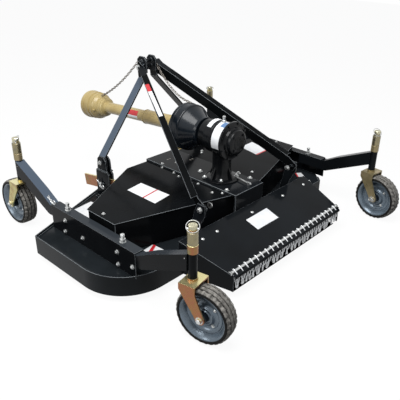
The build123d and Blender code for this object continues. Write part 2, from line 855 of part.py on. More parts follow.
def make_head():
    """Two plates that hold the top link's pin, joined by the bolt through legs and braces."""
    y0 = mast_apex_y - head_plate_length / 2
    y1 = mast_apex_y + head_plate_length / 2
    z0 = mast_apex_z - mast_tab
    z1 = z0 + head_plate_height
    corner = head_plate_length / 4
    profile = [
        (y0, z0),
        (y1, z0),
        (y1, z1 - corner),
        (y1 - corner, z1),
        (y0 + corner, z1),
        (y0, z1 - corner),
    ]
    head = side_plate(profile, mast_apex_half_width - head_plate_thickness, head_plate_thickness)
    head += side_plate(profile, -mast_apex_half_width, head_plate_thickness)
    reach = mast_apex_half_width + 3 * touch_gap + mast_bar_thickness + brace_thickness + 8
    apex = (mast_apex_y, mast_apex_z)
    head += rod((-reach, *apex), (reach, *apex), mast_bolt_radius, bar_sides)
    pin_reach = mast_apex_half_width + 10
    pin_z = mast_apex_z + top_pin_rise
    head += rod((-pin_reach, mast_apex_y, pin_z), (pin_reach, mast_apex_y, pin_z), top_pin_radius)
    return head


def make_spindle_housing(x, y):
    bore = spindle_radius + running_gap
    top = deck_plate_top - deck_plate_thickness - touch_gap
    low = top - spindle_flange_height
    points = [
        (spindle_body_bottom, bore),
        (spindle_body_bottom, spindle_body_radius),
        (low, spindle_body_radius),
        (low, spindle_flange_radius),
        (top, spindle_flange_radius),
        (top, bore),
    ]
    return Pos(x, y, 0) * turned(points, 16)


def make_blade(x, y, turn):
    """A blade with its spindle, about the spindle's own axis."""
    half_width = blade_width / 2
    outline = [
        (-blade_radius, -half_width),
        (-blade_radius + 110, -half_width),
        (-blade_radius + 130, -half_width + 6),
        (blade_radius, -half_width + 6),
        (blade_radius, half_width),
        (blade_radius - 110, half_width),
        (blade_radius - 130, half_width - 6),
        (-blade_radius, half_width - 6),
    ]
    round_tip = Pos(0, 0, blade_z) * extrude(Circle(blade_radius), blade_thickness)
    blade = prism(outline, blade_z, blade_z + blade_thickness) & round_tip
    hub_top = spindle_body_bottom - running_gap
    blade += Pos(0, 0, blade_z) * extrude(RegularPolygon(30, 16), hub_top - blade_z)
    top = deck_plate_top - deck_plate_thickness - 4
    blade += Pos(0, 0, hub_top) * extrude(RegularPolygon(spindle_radius, 16), top - hub_top)
    blade += Pos(0, 0, blade_z - 10) * extrude(RegularPolygon(17, 6), 10)
    return Pos(x, y, 0) * Rot(0, 0, turn) * blade


def build():
    place_casters()
    pieces["deck_shell"] = make_deck()
    pieces["rear_hood"] = make_hood()
    pieces["chain_rail"] = make_chain_rail()
    pieces["gearbox_stand"] = make_stand()
    pieces["gearbox_housing"] = make_gearbox()
    pieces["input_guard"] = make_input_bell()
    pieces["mast_head"] = make_head()
    for name, side in (("left", -1), ("right", 1)):
        pieces["side_rail_" + name] = make_rail(side)
        pieces["belt_cover_" + name] = make_cover(side)
        pieces["hitch_bracket_" + name] = make_hitch(side)
        pieces["hitch_lug_" + name] = make_lug(side)
        pieces["mast_leg_" + name] = make_mast_leg(side)
        pieces["mast_brace_" + name] = make_brace(side)
        pieces["brace_foot_" + name] = make_foot(side)
    place = driveline_place()
    pieces["driveline_shaft"] = place * make_driveline()
    rear_guard, front_guard = make_driveline_guard()
    pieces["driveline_guard_rear"] = place * rear_guard
    pieces["driveline_guard_front"] = place * front_guard
    turns = {"left": 25.0, "centre": 70.0, "right": 110.0}
    for (name, turn), (x, y) in zip(turns.items(), spindle_places()):
        pieces["spindle_housing_" + name] = make_spindle_housing(x, y)
        pieces["blade_" + name] = make_blade(x, y, turn)


build()
boxes = [shape.bounding_box() for shape in pieces.values()]
rear_end = min(b.min.Y for b in boxes)
front_end = max(b.max.Y for b in boxes)
datum_y = (rear_end + front_end) / 2
for name, shape in pieces.items():
    export_step(Pos(0, -datum_y, 0) * shape, f"parts/{name}.step")
print("origin at y", round(datum_y, 3), "length", round(front_end - rear_end, 1))
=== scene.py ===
# A three-point finishing mower, dressed piece by piece in the order it is put together.
import json
import math
import random

import bmesh
import bpy
from mathutils import Matrix, Vector
from mathutils.bvhtree import BVHTree


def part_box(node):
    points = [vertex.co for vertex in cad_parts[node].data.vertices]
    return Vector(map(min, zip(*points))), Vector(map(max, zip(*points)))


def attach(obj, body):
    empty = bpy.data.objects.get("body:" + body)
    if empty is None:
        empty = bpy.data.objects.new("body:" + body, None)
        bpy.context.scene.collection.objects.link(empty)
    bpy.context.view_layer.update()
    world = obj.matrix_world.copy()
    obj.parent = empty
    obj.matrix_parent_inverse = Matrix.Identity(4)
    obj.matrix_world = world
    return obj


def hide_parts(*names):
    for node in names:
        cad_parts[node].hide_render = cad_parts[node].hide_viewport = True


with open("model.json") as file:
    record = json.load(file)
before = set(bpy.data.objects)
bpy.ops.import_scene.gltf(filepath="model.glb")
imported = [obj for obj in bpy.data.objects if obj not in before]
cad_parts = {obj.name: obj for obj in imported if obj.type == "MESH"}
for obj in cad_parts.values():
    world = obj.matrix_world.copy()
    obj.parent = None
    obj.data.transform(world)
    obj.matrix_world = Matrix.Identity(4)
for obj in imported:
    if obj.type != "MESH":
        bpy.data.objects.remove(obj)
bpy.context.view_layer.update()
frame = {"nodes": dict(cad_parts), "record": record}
scene = bpy.context.scene

# The mower's own millimetres.
# They start between the casters, with the deck's rear edge at y -360.
# The shared frame starts under the middle of the overall length instead.
deck_rear = -360.0
shift_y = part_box("deck_shell")[0][1] - deck_rear / 1000


def at(x, y, z):
    """A place in the mower's own millimetres, in the shared frame's metres."""
    return Vector((x / 1000, y / 1000 + shift_y, z / 1000))


# The photograph's camera.
# It stands behind the mower's left rear caster at eye height and is a little rolled.
# Its place comes from the mower's own points seen in the picture, 400 pixels wide.
photo_width = 400
focal_px = 518.8038
centre_px = (218.0272, 192.6958)
azimuth, elevation, roll = (math.radians(a) for a in (-48.6459, 26.2742, 1.5527))
camera_place = at(-1963.556, -1842.052, 1495.891)
back = Vector((
    math.sin(azimuth) * math.cos(elevation),
    -math.cos(azimuth) * math.cos(elevation),
    math.sin(elevation),
))
level_right = Vector((0, 0, 1)).cross(back).normalized()
level_up = back.cross(level_right)
right = level_right * math.cos(roll) + level_up * math.sin(roll)
up = level_up * math.cos(roll) - level_right * math.sin(roll)
camera_data = bpy.data.cameras.new("camera")
camera_data.sensor_width = 36.0
camera_data.lens = focal_px / photo_width * camera_data.sensor_width
camera_data.shift_x = (photo_width / 2 - centre_px[0]) / photo_width
camera_data.shift_y = (centre_px[1] - photo_width / 2) / photo_width
camera = bpy.data.objects.new("camera", camera_data)
scene.collection.objects.link(camera)
camera.matrix_world = Matrix.Translation(camera_place) @ Matrix((right, up, back)).transposed().to_4x4()
scene.camera = camera
scene.view_settings.view_transform = "Standard"

# Floor and light.
# A white studio floor with a faint shadow and a black sheet of painted shade under the mower, a white sky and
# two soft boxes.
# The sky and the floor look white to the camera, and light the mower with less than that.


def linear(hex_colour):
    """An sRGB hex colour as the linear values that a shader takes."""
    values = [int(hex_colour[i:i + 2], 16) / 255 for i in (1, 3, 5)]
    return [v / 12.92 if v <= 0.04045 else ((v + 0.055) / 1.055) ** 2.4 for v in values] + [1.0]


def node(tree, kind, settings=None, **links):
    """Adds a node, sets its properties and unlinked sockets, and links the rest."""
    made = tree.nodes.new(kind)
    for key, value in (settings or {}).items():
        if isinstance(key, str) and hasattr(made, key):
            setattr(made, key, value)
        else:
            made.inputs[key].default_value = value
    for key, source in links.items():
        place = int(key[1:]) if key[1:].isdigit() else key.replace("_", " ")
        tree.links.new(source, made.inputs[place])
    return made


def seen_directly(tree):
    """1 for what the camera sees, straight or in a reflection, and 0 for scattered light."""
    path = node(tree, "ShaderNodeLightPath").outputs
    either = {"operation": "MAXIMUM"}
    direct = node(tree, "ShaderNodeMath", either, i0=path["Is Camera Ray"], i1=path["Is Glossy Ray"])
    through = path["Is Transmission Ray"]
    return node(tree, "ShaderNodeMath", either, i0=direct.outputs[0], i1=through).outputs[0]


def stage_sheet(name, corners):
    """A flat sheet of the studio, which belongs to no body of the mower."""
    mesh = bpy.data.meshes.new(name)
    mesh.from_pydata(corners, [], [tuple(range(len(corners)))])
    sheet = bpy.data.objects.new(name, mesh)
    scene.collection.objects.link(sheet)
    return mesh


sky_strength = 0.52
world = bpy.data.worlds.new("studio")
scene.world = world
world.use_nodes = True
tree = world.node_tree
tree.nodes.clear()
light = node(tree, "ShaderNodeBackground", {"Color": linear("#f4f7ff"), "Strength": sky_strength})
white = node(tree, "ShaderNodeBackground", {"Color": (1, 1, 1, 1), "Strength": 1.0})
mixed = node(tree, "ShaderNodeMixShader", i0=seen_directly(tree), i1=light.outputs[0], i2=white.outputs[0])
node(tree, "ShaderNodeOutputWorld", Surface=mixed.outputs[0])

floor_half = 12.0
floor_turns = ((-1, -1), (1, -1), (1, 1), (-1, 1))
floor_mesh = stage_sheet("floor", [(x * floor_half, y * floor_half, 0) for x, y in floor_turns])

# Matt white paper with a glow that hides where it ends.
glow_share = 0.93
floor_paper = bpy.data.materials.new("studio_floor")
floor_paper.use_nodes = True
tree = floor_paper.node_tree
tree.nodes.clear()
matt = node(tree, "ShaderNodeBsdfDiffuse", {"Color": linear("#f4f4f2")})
glow = node(tree, "ShaderNodeEmission", {"Color": (1, 1, 1, 1)}, Strength=seen_directly(tree))
lit = node(tree, "ShaderNodeMixShader", {0: glow_share}, i1=matt.outputs[0], i2=glow.outputs[0])
node(tree, "ShaderNodeOutputMaterial", Surface=lit.outputs[0])
floor_mesh.materials.append(floor_paper)

# A black sheet on the ground under the deck and hood is painted shade, which ends where the chains' tips hide
# it.
shade_height = 0.5
shade_corners = [
    (700, -280), (820, -150), (820, 240), (300, 460), (-300, 460), (-820, 240), (-820, -150),
    (-700, -280), (-440, -290), (-425, -596), (485, -596), (520, -290),
]
shade_mesh = stage_sheet("floor_in_shade", [at(x, y, shade_height) for x, y in shade_corners])
shade_paper = bpy.data.materials.new("floor_shade")
shade_paper.use_nodes = True
shade_inputs = shade_paper.node_tree.nodes["Principled BSDF"].inputs
shade_inputs["Base Color"].default_value = linear("#0c0c0c")
shade_inputs["Roughness"].default_value = 1.0
shade_inputs["Specular IOR Level"].default_value = 0.0
shade_mesh.materials.append(shade_paper)

# Each soft box: its place and what it points at in metres, its side in metres, and its watts.
soft_boxes = [
    ("soft_box_over", (-1.2, -0.6, 3.6), (0.0, 0.0, 0.2), 2.2, 150.0),
    ("soft_box_left", (-3.4, 0.9, 2.0), (-0.2, 0.0, 0.3), 1.6, 40.0),
]
for name, place, target, size, power in soft_boxes:
    lamp = bpy.data.lights.new(name, "AREA")
    lamp.shape = "SQUARE"
    lamp.size = size
    lamp.energy = power
    lamp_object = bpy.data.objects.new(name, lamp)
    scene.collection.objects.link(lamp_object)
    lamp_object.location = place
    lamp_object.rotation_euler = (Vector(target) - Vector(place)).to_track_quat("-Z", "Y").to_euler()

# Deck.
# A low welded box of steel plate, open below, sprayed with black powder and baked.
# The frame's piece is kept, and its edges are rounded as on cut and bent steel.
noise_roughness = 0.55
noise_middle = (0.3, 0.7)
dust_colour = "#8f8878"
dust_patch = 90
dust_slopes = (0.2, 1.0)
# Slopes over which the painted sky reflection fades in on upper faces.
painted_sheen_slopes = (0.4, 0.65)


def pattern(tree, size_mm, detail=3.0):
    """Noise in the mower's own space, its blotches about size_mm across, from 0 to 1."""
    place = node(tree, "ShaderNodeTexCoord").outputs["Object"]
    scaled = node(tree, "ShaderNodeMapping", {"Scale": [1000 / size_mm] * 3}, Vector=place)
    settings = {"Scale": 1.0, "Detail": detail, "Roughness": noise_roughness}
    return node(tree, "ShaderNodeTexNoise", settings, Vector=scaled.outputs[0]).outputs["Fac"]


def facing_up(tree, start, end):
    """1 on faces that look up more than end, 0 on those that look up less than start."""
    normal = node(tree, "ShaderNodeNewGeometry").outputs["Normal"]
    height = node(tree, "ShaderNodeSeparateXYZ", i0=normal).outputs["Z"]
    settings = {"From Min": start, "From Max": end, "To Min": 0, "To Max": 1}
    return node(tree, "ShaderNodeMapRange", settings, Value=height).outputs[0]


def finish(name, colours, rough, metal=0.0, ior=1.5, blotch=40.0, grain=1.2, bump=0.0, dust=0.0, top=None):
    """A material from its colours and its roughness, both in blotches of some millimetres.

    colours is a list of (place in the noise, sRGB hex). grain is the fine bump's size in
    millimetres, dust lies on upper faces, and top is a tint painted on them as a painted sky reflection.
    The real grain is finer on most pieces, and is drawn as coarse as it needs to show.
    """
    paint = bpy.data.materials.new(name)
    paint.use_nodes = True
    tree = paint.node_tree
    shader = tree.nodes["Principled BSDF"]
    ramp = node(tree, "ShaderNodeValToRGB", i0=pattern(tree, blotch))
    stops = ramp.color_ramp.elements
    while len(stops) < len(colours):
        stops.new(0.5)
    for stop, (place, hex_colour) in zip(stops, colours):
        stop.position = place
        stop.color = linear(hex_colour)
    colour = ramp.outputs["Color"]
    if dust:
        upper = facing_up(tree, *dust_slopes)
        patches = pattern(tree, dust_patch)
        lying = node(tree, "ShaderNodeMath", {"operation": "MULTIPLY"}, i0=upper, i1=patches)
        veil = node(tree, "ShaderNodeMath", {"operation": "MULTIPLY", 1: dust}, i0=lying.outputs[0])
        settings = {"data_type": "RGBA", 7: linear(dust_colour)}
        colour = node(tree, "ShaderNodeMix", settings, i0=veil.outputs[0], i6=colour).outputs[2]
    # Painted sky reflection: faces that look up are tinted towards top.
    if top:
        settings = {"data_type": "RGBA", 7: linear(top)}
        colour = node(tree, "ShaderNodeMix", settings, i0=facing_up(tree, *painted_sheen_slopes), i6=colour).outputs[2]
    tree.links.new(colour, shader.inputs["Base Color"])
    low, high = noise_middle
    settings = {"From Min": low, "From Max": high, "To Min": rough[0], "To Max": rough[1]}
    duller = node(tree, "ShaderNodeMapRange", settings, Value=pattern(tree, blotch / 3))
    tree.links.new(duller.outputs[0], shader.inputs["Roughness"])
    shader.inputs["Metallic"].default_value = metal
    shader.inputs["IOR"].default_value = ior
    if bump:
        height = pattern(tree, grain, 2.0)
        bumped = node(tree, "ShaderNodeBump", {"Strength": bump, "Distance": grain / 1000}, Height=height)
        tree.links.new(bumped.outputs["Normal"], shader.inputs["Normal"])
    return paint


# Along rounded edges a lighter grey is painted on the black coat, a painted highlight which draws a light
# line round each piece.
painted_edge_highlight_coat = finish(
    "powder_coat_painted_edge_highlight", [(0.3, "#5d6265"), (0.7, "#75797b")], (0.2, 0.3),
    ior=1.2, blotch=60,
)
edge_radius = 1.2
edge_angle = 32
flat_angle = 0.5
weld_mm = 0.01
slot_of = {part["node"]: part["material_slot"] for part in frame["record"]["subparts"]}


def dress(paint, *names, radius=edge_radius):
    """Gives the frame's own pieces their finish and rounds their edges, and paints a highlight along the
    edges of black ones.
    """
    for name in names:
        piece = frame["nodes"][name]
        piece.data.materials.clear()
        piece.data.materials.append(paint)
        normals = piece.data.attributes.get("custom_normal")
        if normals:
            piece.data.attributes.remove(normals)
        piece.data.shade_smooth()
        weld = piece.modifiers.new("weld", "WELD")
        weld.merge_threshold = weld_mm / 1000
        flat = piece.modifiers.new("flat", "DECIMATE")
        flat.decimate_type = "DISSOLVE"
        flat.angle_limit = math.radians(flat_angle)
        edge = piece.modifiers.new("edge", "BEVEL")
        edge.width = radius / 1000
        # Black pieces get the painted edge highlight on their rounded edges.
        if slot_of[name] == "black_paint":
            piece.data.materials.append(painted_edge_highlight_coat)
            edge.material = 1
        edge.segments = 2
        edge.limit_method = "ANGLE"
        edge.angle_limit = math.radians(edge_angle)
        edge.harden_normals = True
        edge.use_clamp_overlap = True


# Powder coat on the skirt is smooth and glossy, and painted a shade greyer than on the rest, a painted
# reflection of the bright studio.
# All the black coats take a low index, so that a white studio doesn't wash them out.
painted_light_skirt_coat = finish(
    "skirt_powder_coat_painted_light", [(0.3, "#15181a"), (0.7, "#1f2326")], (0.1, 0.2),
    ior=1.17, blotch=260, grain=2.0, bump=0.01,
)
dress(painted_light_skirt_coat, "deck_shell", radius=2.0)

# Spindle housings and blades.
# Three cast housings under the deck plate, coated with the deck, and three blades of spring steel.

# Baked black powder coat, glossy and nearly black, with a slight orange-peel skin.
black_powder_coat = finish(
    "black_powder_coat", [(0.3, "#101214"), (0.7, "#15181b")], (0.1, 0.17),
    ior=1.15, blotch=220, grain=2.0, bump=0.01,
)
# Bare rolled steel, dull grey with a brown tinge.
bare_steel = finish(
    "bare_steel", [(0.3, "#6b6661"), (0.7, "#8a857e")], (0.34, 0.52),
    metal=0.85, blotch=40, grain=0.8, bump=0.08,
)
dress(black_powder_coat, "spindle_housing_left", "spindle_housing_centre", "spindle_housing_right")
dress(bare_steel, "blade_left", "blade_centre", "blade_right")

# Belt covers, gearbox stand and hood.
# Folded sheet steel, coated like the deck and bolted to it.
# The covers' coat is painted darker than the hood's and the stand's, a painted shade for the darker part of
# the studio that they mirror.
painted_shade_cover_coat = finish(
    "cover_powder_coat_painted_shade", [(0.3, "#0b0c0d"), (0.7, "#101214")], (0.12, 0.2),
    ior=1.09, blotch=220,
)
dress(painted_shade_cover_coat, "belt_cover_left", "belt_cover_right", radius=2.4)
dress(black_powder_coat, "gearbox_stand", radius=2.0)
dress(black_powder_coat, "rear_hood")

# Side rails and caster arms.
# Angle irons bolted along the deck's sides, and box-section arms that slide in them.
# On the left their upper faces are tinted blue-grey, a painted reflection of the sky in the gloss.
painted_sky_sheen_coat = finish(
    "powder_coat_painted_sky_sheen", [(0.3, "#0d0e10"), (0.7, "#14161a")], (0.12, 0.2),
    ior=1.15, blotch=220, top="#47515d",
)
# The rail's coat carries a fainter painted sky reflection on its upper faces.
rail_coat = finish(
    "rail_powder_coat", [(0.3, "#0d0e10"), (0.7, "#121416")], (0.12, 0.2),
    ior=1.15, blotch=220, top="#2b2f33",
)
dress(rail_coat, "side_rail_left", "caster_arm_rear_left")
dress(painted_sky_sheen_coat, "caster_arm_front_left")
dress(black_powder_coat, "side_rail_right", "caster_arm_front_right", "caster_arm_rear_right")

# Caster forks.
# Bent steel plate, zinc plated and passivated, which leaves a film of changing colours.
# Each fork came out of the bath in its own shade: yellow, rosy or olive.
# On the yellow and rosy zinc the upper faces are painted paler, a painted reflection of the sky.
yellow_zinc = finish(
    "yellow_passivated_zinc",
    [(0.3, "#8f8368"), (0.42, "#a08a58"), (0.54, "#b3a566"), (0.64, "#aaa878"), (0.76, "#94887c")],
    (0.2, 0.36), metal=0.85, blotch=55, grain=0.8, bump=0.04, top="#e0d8a8",
)
rosy_zinc = finish(
    "rosy_passivated_zinc",
    [(0.3, "#7c7450"), (0.42, "#946a44"), (0.54, "#966348"), (0.64, "#926c46"), (0.76, "#7c6e50")],
    (0.2, 0.36), metal=0.85, blotch=60, grain=0.8, bump=0.04, top="#dcd29c",
)
olive_zinc = finish(
    "olive_zinc_plate", [(0.3, "#7d7150"), (0.55, "#978a68"), (0.8, "#a88f80")], (0.26, 0.4),
    metal=0.55, blotch=45, grain=0.8, bump=0.05,
)
dress(yellow_zinc, "caster_fork_front_left", "caster_fork_front_right")
dress(rosy_zinc, "caster_fork_rear_left")
dress(olive_zinc, "caster_fork_rear_right")

# Caster wheels.
# Semi-pneumatic rubber tyres on rims pressed from sheet steel, each turning on a bolt in its fork.
# The tread has two plain ribs in the middle and notched blocks on the shoulders.
# Shapes are lists of corners in the mower's own millimetres, with lists of faces.


def square_to(axis):
    """An axis and two directions square to it."""
    axis = Vector(axis).normalized()
    other = Vector((0, 0, 1)) if abs(axis.z) < 0.9 else Vector((0, 1, 0))
    side = other.cross(axis).normalized()
    return axis, side, axis.cross(side)


def lathe(outline, place, axis, sides=48, closed=False):
    """An outline of (along, radius) turned about an axis through a place."""
    axis, side, up = square_to(axis)
    verts = []
    for i in range(sides):
        turn = math.tau * i / sides
        out = side * math.cos(turn) + up * math.sin(turn)
        verts += [Vector(place) + axis * a + out * r for a, r in outline]
    count = len(outline)
    faces = []
    for i in range(sides):
        here = i * count
        there = (i + 1) % sides * count
        for j in range(count if closed else count - 1):
            k = (j + 1) % count
            faces.append((here + j, here + k, there + k, there + j))
    return verts, faces


def ring_of(outline, place, axis, sides=48):
    """A turned ring: its outline closes on itself."""
    return lathe(outline, place, axis, sides, closed=True)


def disc(low, high, radius):
    """The outline of a plain round piece between two places along its axis."""
    return [(low, 0), (low, radius), (high, radius), (high, 0)]


# Shares of a bolt's own size.
corner_cut = 0.12
washer_height = 0.2
washer_width = 1.45
head_height = 0.85
stud_width = 0.55
stud_tip = 0.42


def hexagon(place, axis, radius, height):
    """A bolt head or nut with its corners taken off."""
    edge = radius * corner_cut
    outline = [(0, 0), (0, radius), (height - edge, radius), (height, radius - edge * 1.4), (height, 0)]
    return lathe(outline, place, axis, 6)


def bolt(place, axis, radius, stud=0.0):
    """A washer, a hexagon, and the stud's end where it is a nut."""
    axis = Vector(axis).normalized()
    place = Vector(place)
    washer = disc(0, radius * washer_height, radius * washer_width)
    head = hexagon(place + axis * radius * washer_height, axis, radius, radius * head_height)
    parts = [lathe(washer, place, axis, 24), head]
    if stud:
        wide = radius * stud_width
        end = [(0, 0), (0, wide), (stud - 1.5, wide), (stud, radius * stud_tip), (stud, 0)]
        parts.append(lathe(end, place, axis, 16))
    return parts


def gather(name, parts, paint, body, sharp=35):
    """One mesh of several shapes, riding on a body, with the given paint."""
    verts = []
    faces = []
    for part_verts, part_faces in parts:
        start = len(verts)
        verts += [at(*v) for v in part_verts]
        faces += [[start + k for k in face] for face in part_faces]
    mesh = bpy.data.meshes.new(name)
    mesh.from_pydata(verts, [], faces)
    shape = bmesh.new()
    shape.from_mesh(mesh)
    bmesh.ops.remove_doubles(shape, verts=shape.verts, dist=0.0000005)
    bmesh.ops.dissolve_degenerate(shape, edges=shape.edges, dist=0.0000005)
    bmesh.ops.recalc_face_normals(shape, faces=shape.faces)
    shape.to_mesh(mesh)
    shape.free()
    mesh.shade_smooth()
    mesh.set_sharp_from_angle(angle=math.radians(sharp))
    made = bpy.data.objects.new(name, mesh)
    scene.collection.objects.link(made)
    mesh.materials.append(paint)
    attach(made, body)
    return made


stem_x = 752.0
stem_y = 654.0
caster_trail = 66.0
axle_z = 130.0
# Each caster: its side and end of the mower, and how far it is swung from trailing straight back.
casters = [
    ("front_left", -1, 1, 180.0),
    ("front_right", 1, 1, 180.0),
    ("rear_left", -1, -1, 11.0),
    ("rear_right", 1, -1, -5.5),
]
wheel_sides = 96
notch_depth = 3.0
notch_turn = 12.0
notch_share = 0.34
tread_sides = 180
# Half the tread, from the middle out: along the axle, radius, and 1 where the notches cut.
tread_half = [
    (0.0, 124.0, 0), (2.9, 124.0, 0), (3.6, 129.8, 0), (9.5, 130.0, 0), (16.8, 129.5, 0), (17.6, 123.8, 0),
    (22.4, 123.8, 0), (23.2, 128.8, 1), (30.0, 127.2, 1), (35.5, 124.0, 1), (37.5, 120.5, 1),
]
groove_floors = [(-22.2, -17.8, 124.3), (-2.8, 2.8, 124.5), (17.8, 22.2, 124.3)]
floor_depth = 2
wall_half = [
    (37.5, 120.5), (39.6, 117.0), (40.2, 112.5), (39.4, 109.4), (37.2, 108.0), (33.0, 107.6), (28.9, 104.0),
]
wall_back = (28.9, 118)
wall_inset = 0.05
rim_half = [
    (14.0, 24.2), (20.0, 25.5), (16.0, 28.0), (15.0, 33.0), (19.0, 36.0), (19.0, 40.0), (13.0, 44.0),
    (8.0, 48.0), (6.0, 52.0), (6.0, 62.0), (8.0, 66.0), (13.0, 69.0), (14.5, 73.0), (14.0, 82.0),
    (11.0, 85.0), (11.0, 88.0), (16.0, 91.0), (24.0, 95.0), (28.0, 98.5), (31.5, 101.0), (34.5, 104.0),
    (36.6, 109.0), (36.4, 113.0), (34.0, 113.6), (29.0, 104.2),
]
rim_bolts = 4
rim_bolt_start = 0.55
rim_bolt_circle = 57
rim_bolt_size = 5.0
rim_web_half = 6.0
bearing_half = [
    (14.0, 8.6), (14.0, 24.0), (41.0, 24.0), (43.0, 22.0), (43.0, 14.0), (38.0, 13.0), (38.0, 8.6),
]
fork_outer_half = 52
axle_bolt_size = 11.5
axle_bolt_stud = 16

# Clean moulded rubber on the walls, matt and nearly black.
tyre_rubber = finish(
    "tyre_rubber", [(0.35, "#0b0b0b"), (0.65, "#131312")], (0.6, 0.8),
    ior=1.25, blotch=30, grain=1.0, bump=0.3, dust=0.04,
)
# The same rubber on the tread, greyed in patches by ground-in dust.
dusty_tread = finish(
    "dusty_tread_rubber", [(0.32, "#474541"), (0.68, "#8b8882")], (0.7, 0.9),
    ior=1.35, blotch=13, grain=1.0, bump=0.4,
)
# Thin grey enamel with metal flakes on the pressed rims, between paint and steel in its shine.
grey_rim_paint = finish(
    "grey_rim_paint", [(0.3, "#535f69"), (0.7, "#6b7883")], (0.2, 0.32),
    metal=0.35, blotch=60, grain=1.5, bump=0.04,
)
# Clear passivated zinc on bolts and wire, bright and nearly white, with a fine grain.
bright_zinc = finish(
    "bright_zinc", [(0.3, "#b9bcbd"), (0.7, "#d3d4d2")], (0.2, 0.36),
    metal=0.9, blotch=12, grain=0.6, bump=0.05,
)
# Moulded black plastic, smooth with a soft sheen.
moulded_black = finish(
    "moulded_black_plastic", [(0.3, "#0d1115"), (0.7, "#131a21")], (0.18, 0.28),
    ior=1.34, blotch=100, grain=1.0, bump=0.02,
)


def tread_at(place, axis):
    """The tread's rings, cut back at the shoulder's notches, which alternate side to side."""
    axis, side, up = square_to(axis)
    stations = [(-a, r, n) for a, r, n in tread_half[:0:-1]] + tread_half
    verts = []
    for i in range(tread_sides):
        turn = math.tau * i / tread_sides
        out = side * math.cos(turn) + up * math.sin(turn)
        for a, r, notched in stations:
            phase = (360 * i / tread_sides + (notch_turn / 2 if a > 0 else 0)) % notch_turn
            depth = notch_depth if notched and phase < notch_turn * notch_share else 0.0
            verts.append(Vector(place) + axis * a + out * (r - depth))
    count = len(stations)
    faces = []
    for i in range(tread_sides):
        here = i * count
        there = (i + 1) % tread_sides * count
        faces += [(here + j, here + j + 1, there + j + 1, there + j) for j in range(count - 1)]
    return verts, faces


for name, side, end, swivel in casters:
    dress(tyre_rubber, "tyre_" + name)
    dress(grey_rim_paint, "rim_" + name)
    turn = math.radians(swivel)
    axle = (math.cos(turn), math.sin(turn), 0)
    stem = Vector((side * stem_x, end * stem_y, 0))
    hub = stem + Vector((caster_trail * math.sin(turn), -caster_trail * math.cos(turn), axle_z))
    body = "wheel_" + name
    tread = gather("tread_" + name, [tread_at(hub, axle)], dusty_tread, body, sharp=30)
    walls = []
    for s in (-1, 1):
        wall = [(s * a, r - wall_inset) for a, r in wall_half] + [(s * wall_back[0], wall_back[1])]
        walls.append(ring_of(wall, hub, axle, wheel_sides))
    for low, high, radius in groove_floors:
        groove = [(low, radius - floor_depth), (low, radius), (high, radius), (high, radius - floor_depth)]
        walls.append(ring_of(groove, hub, axle, wheel_sides))
    gather("tyre_walls_" + name, walls, tyre_rubber, body)
    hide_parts("tyre_" + name)
    dish = [ring_of(rim_half + [(-a, r) for a, r in rim_half[::-1]], hub, axle, wheel_sides)]
    rim = gather("rim_dish_" + name, dish, grey_rim_paint, body, 40)
    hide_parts("rim_" + name)
    across, one, two = square_to(axle)
    fixings = []
    for k in range(rim_bolts):
        angle = math.tau * (k + rim_bolt_start) / rim_bolts
        spot = hub + (one * math.cos(angle) + two * math.sin(angle)) * rim_bolt_circle
        for s in (-1, 1):
            fixings += bolt(spot + across * s * rim_web_half, across * s, rim_bolt_size)
    gather("rim_bolts_" + name, fixings, bright_zinc, body)
    bearings = [ring_of([(s * a, r) for a, r in bearing_half], hub, axle, 32) for s in (-1, 1)]
    gather("hub_bearings_" + name, bearings, moulded_black, body)
    ends = []
    for s in (-1, 1):
        stud = axle_bolt_stud if s > 0 else 0
        ends += bolt(hub + across * s * fork_outer_half, across * s, axle_bolt_size, stud)
    gather("axle_bolt_ends_" + name, ends, bright_zinc, "caster_" + name)

# Caster stems.
# Two loose height sleeves of zinc-plated tube on each stem, held down by a linch pin.
# The pin's sprung wire ring snaps over the stem's end; a grease nipple is screwed into the tube.


def wire(points, radius, sides=8, closed=False):
    """A round wire along a line of points."""
    points = [Vector(p) for p in points]
    count = len(points)
    verts = []
    side = None
    for i, point in enumerate(points):
        before = points[i - 1] if closed or i else point
        after = points[(i + 1) % count] if closed or i < count - 1 else point
        way, fresh, _ = square_to(after - before)
        side = fresh if side is None else (side - way * side.dot(way)).normalized()
        up = way.cross(side)
        for k in range(sides):
            turn = math.tau * k / sides
            verts.append(point + (side * math.cos(turn) + up * math.sin(turn)) * radius)
    faces = []
    for i in range(count if closed else count - 1):
        here = i * sides
        there = (i + 1) % count * sides
        for k in range(sides):
            n = (k + 1) % sides
            faces.append((here + k, here + n, there + n, there + k))
    if not closed:
        faces.append(tuple(range(sides)))
        faces.append(tuple(range((count - 1) * sides, count * sides)))
    return verts, faces


upright = (0, 0, 1)
sleeve_low = 399.0
sleeve_heights = (40.0, 57.0)
sleeve_gap = 1.2
sleeve_bore = 14.3
sleeve_face = 20.8
sleeve_radius = 22.5
sleeve_chamfer = 1.6
stem_rise = 27.5
ring_headings = {"front_left": 150, "front_right": 40, "rear_left": 222, "rear_right": 250}
ring_lean = 1.15
ring_half_width = 26
ring_half_height = 25
ring_steps = 36
ring_wire = 1.7
ring_rise = 19
pin_rise = 9
pin_half = 25
pin_radius = 4.0
nipple_x = 15
nipple_y = 14
nipple_z = 372
nipple_out = 0.7
nipple_tilt = 0.1
nipple = [(0, 0), (0, 4.2), (3, 4.2), (3, 2.6), (9, 2.2), (11, 3.2), (14, 2.0), (14.5, 0)]

# Yellow passivated zinc on drawn tube, browner than on the forks.
yellow_sleeve = finish(
    "yellow_zinc_sleeve", [(0.3, "#7d7868"), (0.5, "#8f8668"), (0.7, "#8c8474")], (0.2, 0.36),
    metal=0.85, blotch=30,
)
# Pale zinc on the turned end of the stem.
pale_zinc = finish(
    "pale_zinc", [(0.3, "#a8a48c"), (0.7, "#c4bfa4")], (0.2, 0.34),
    metal=0.8, blotch=20, grain=0.6, bump=0.04,
)

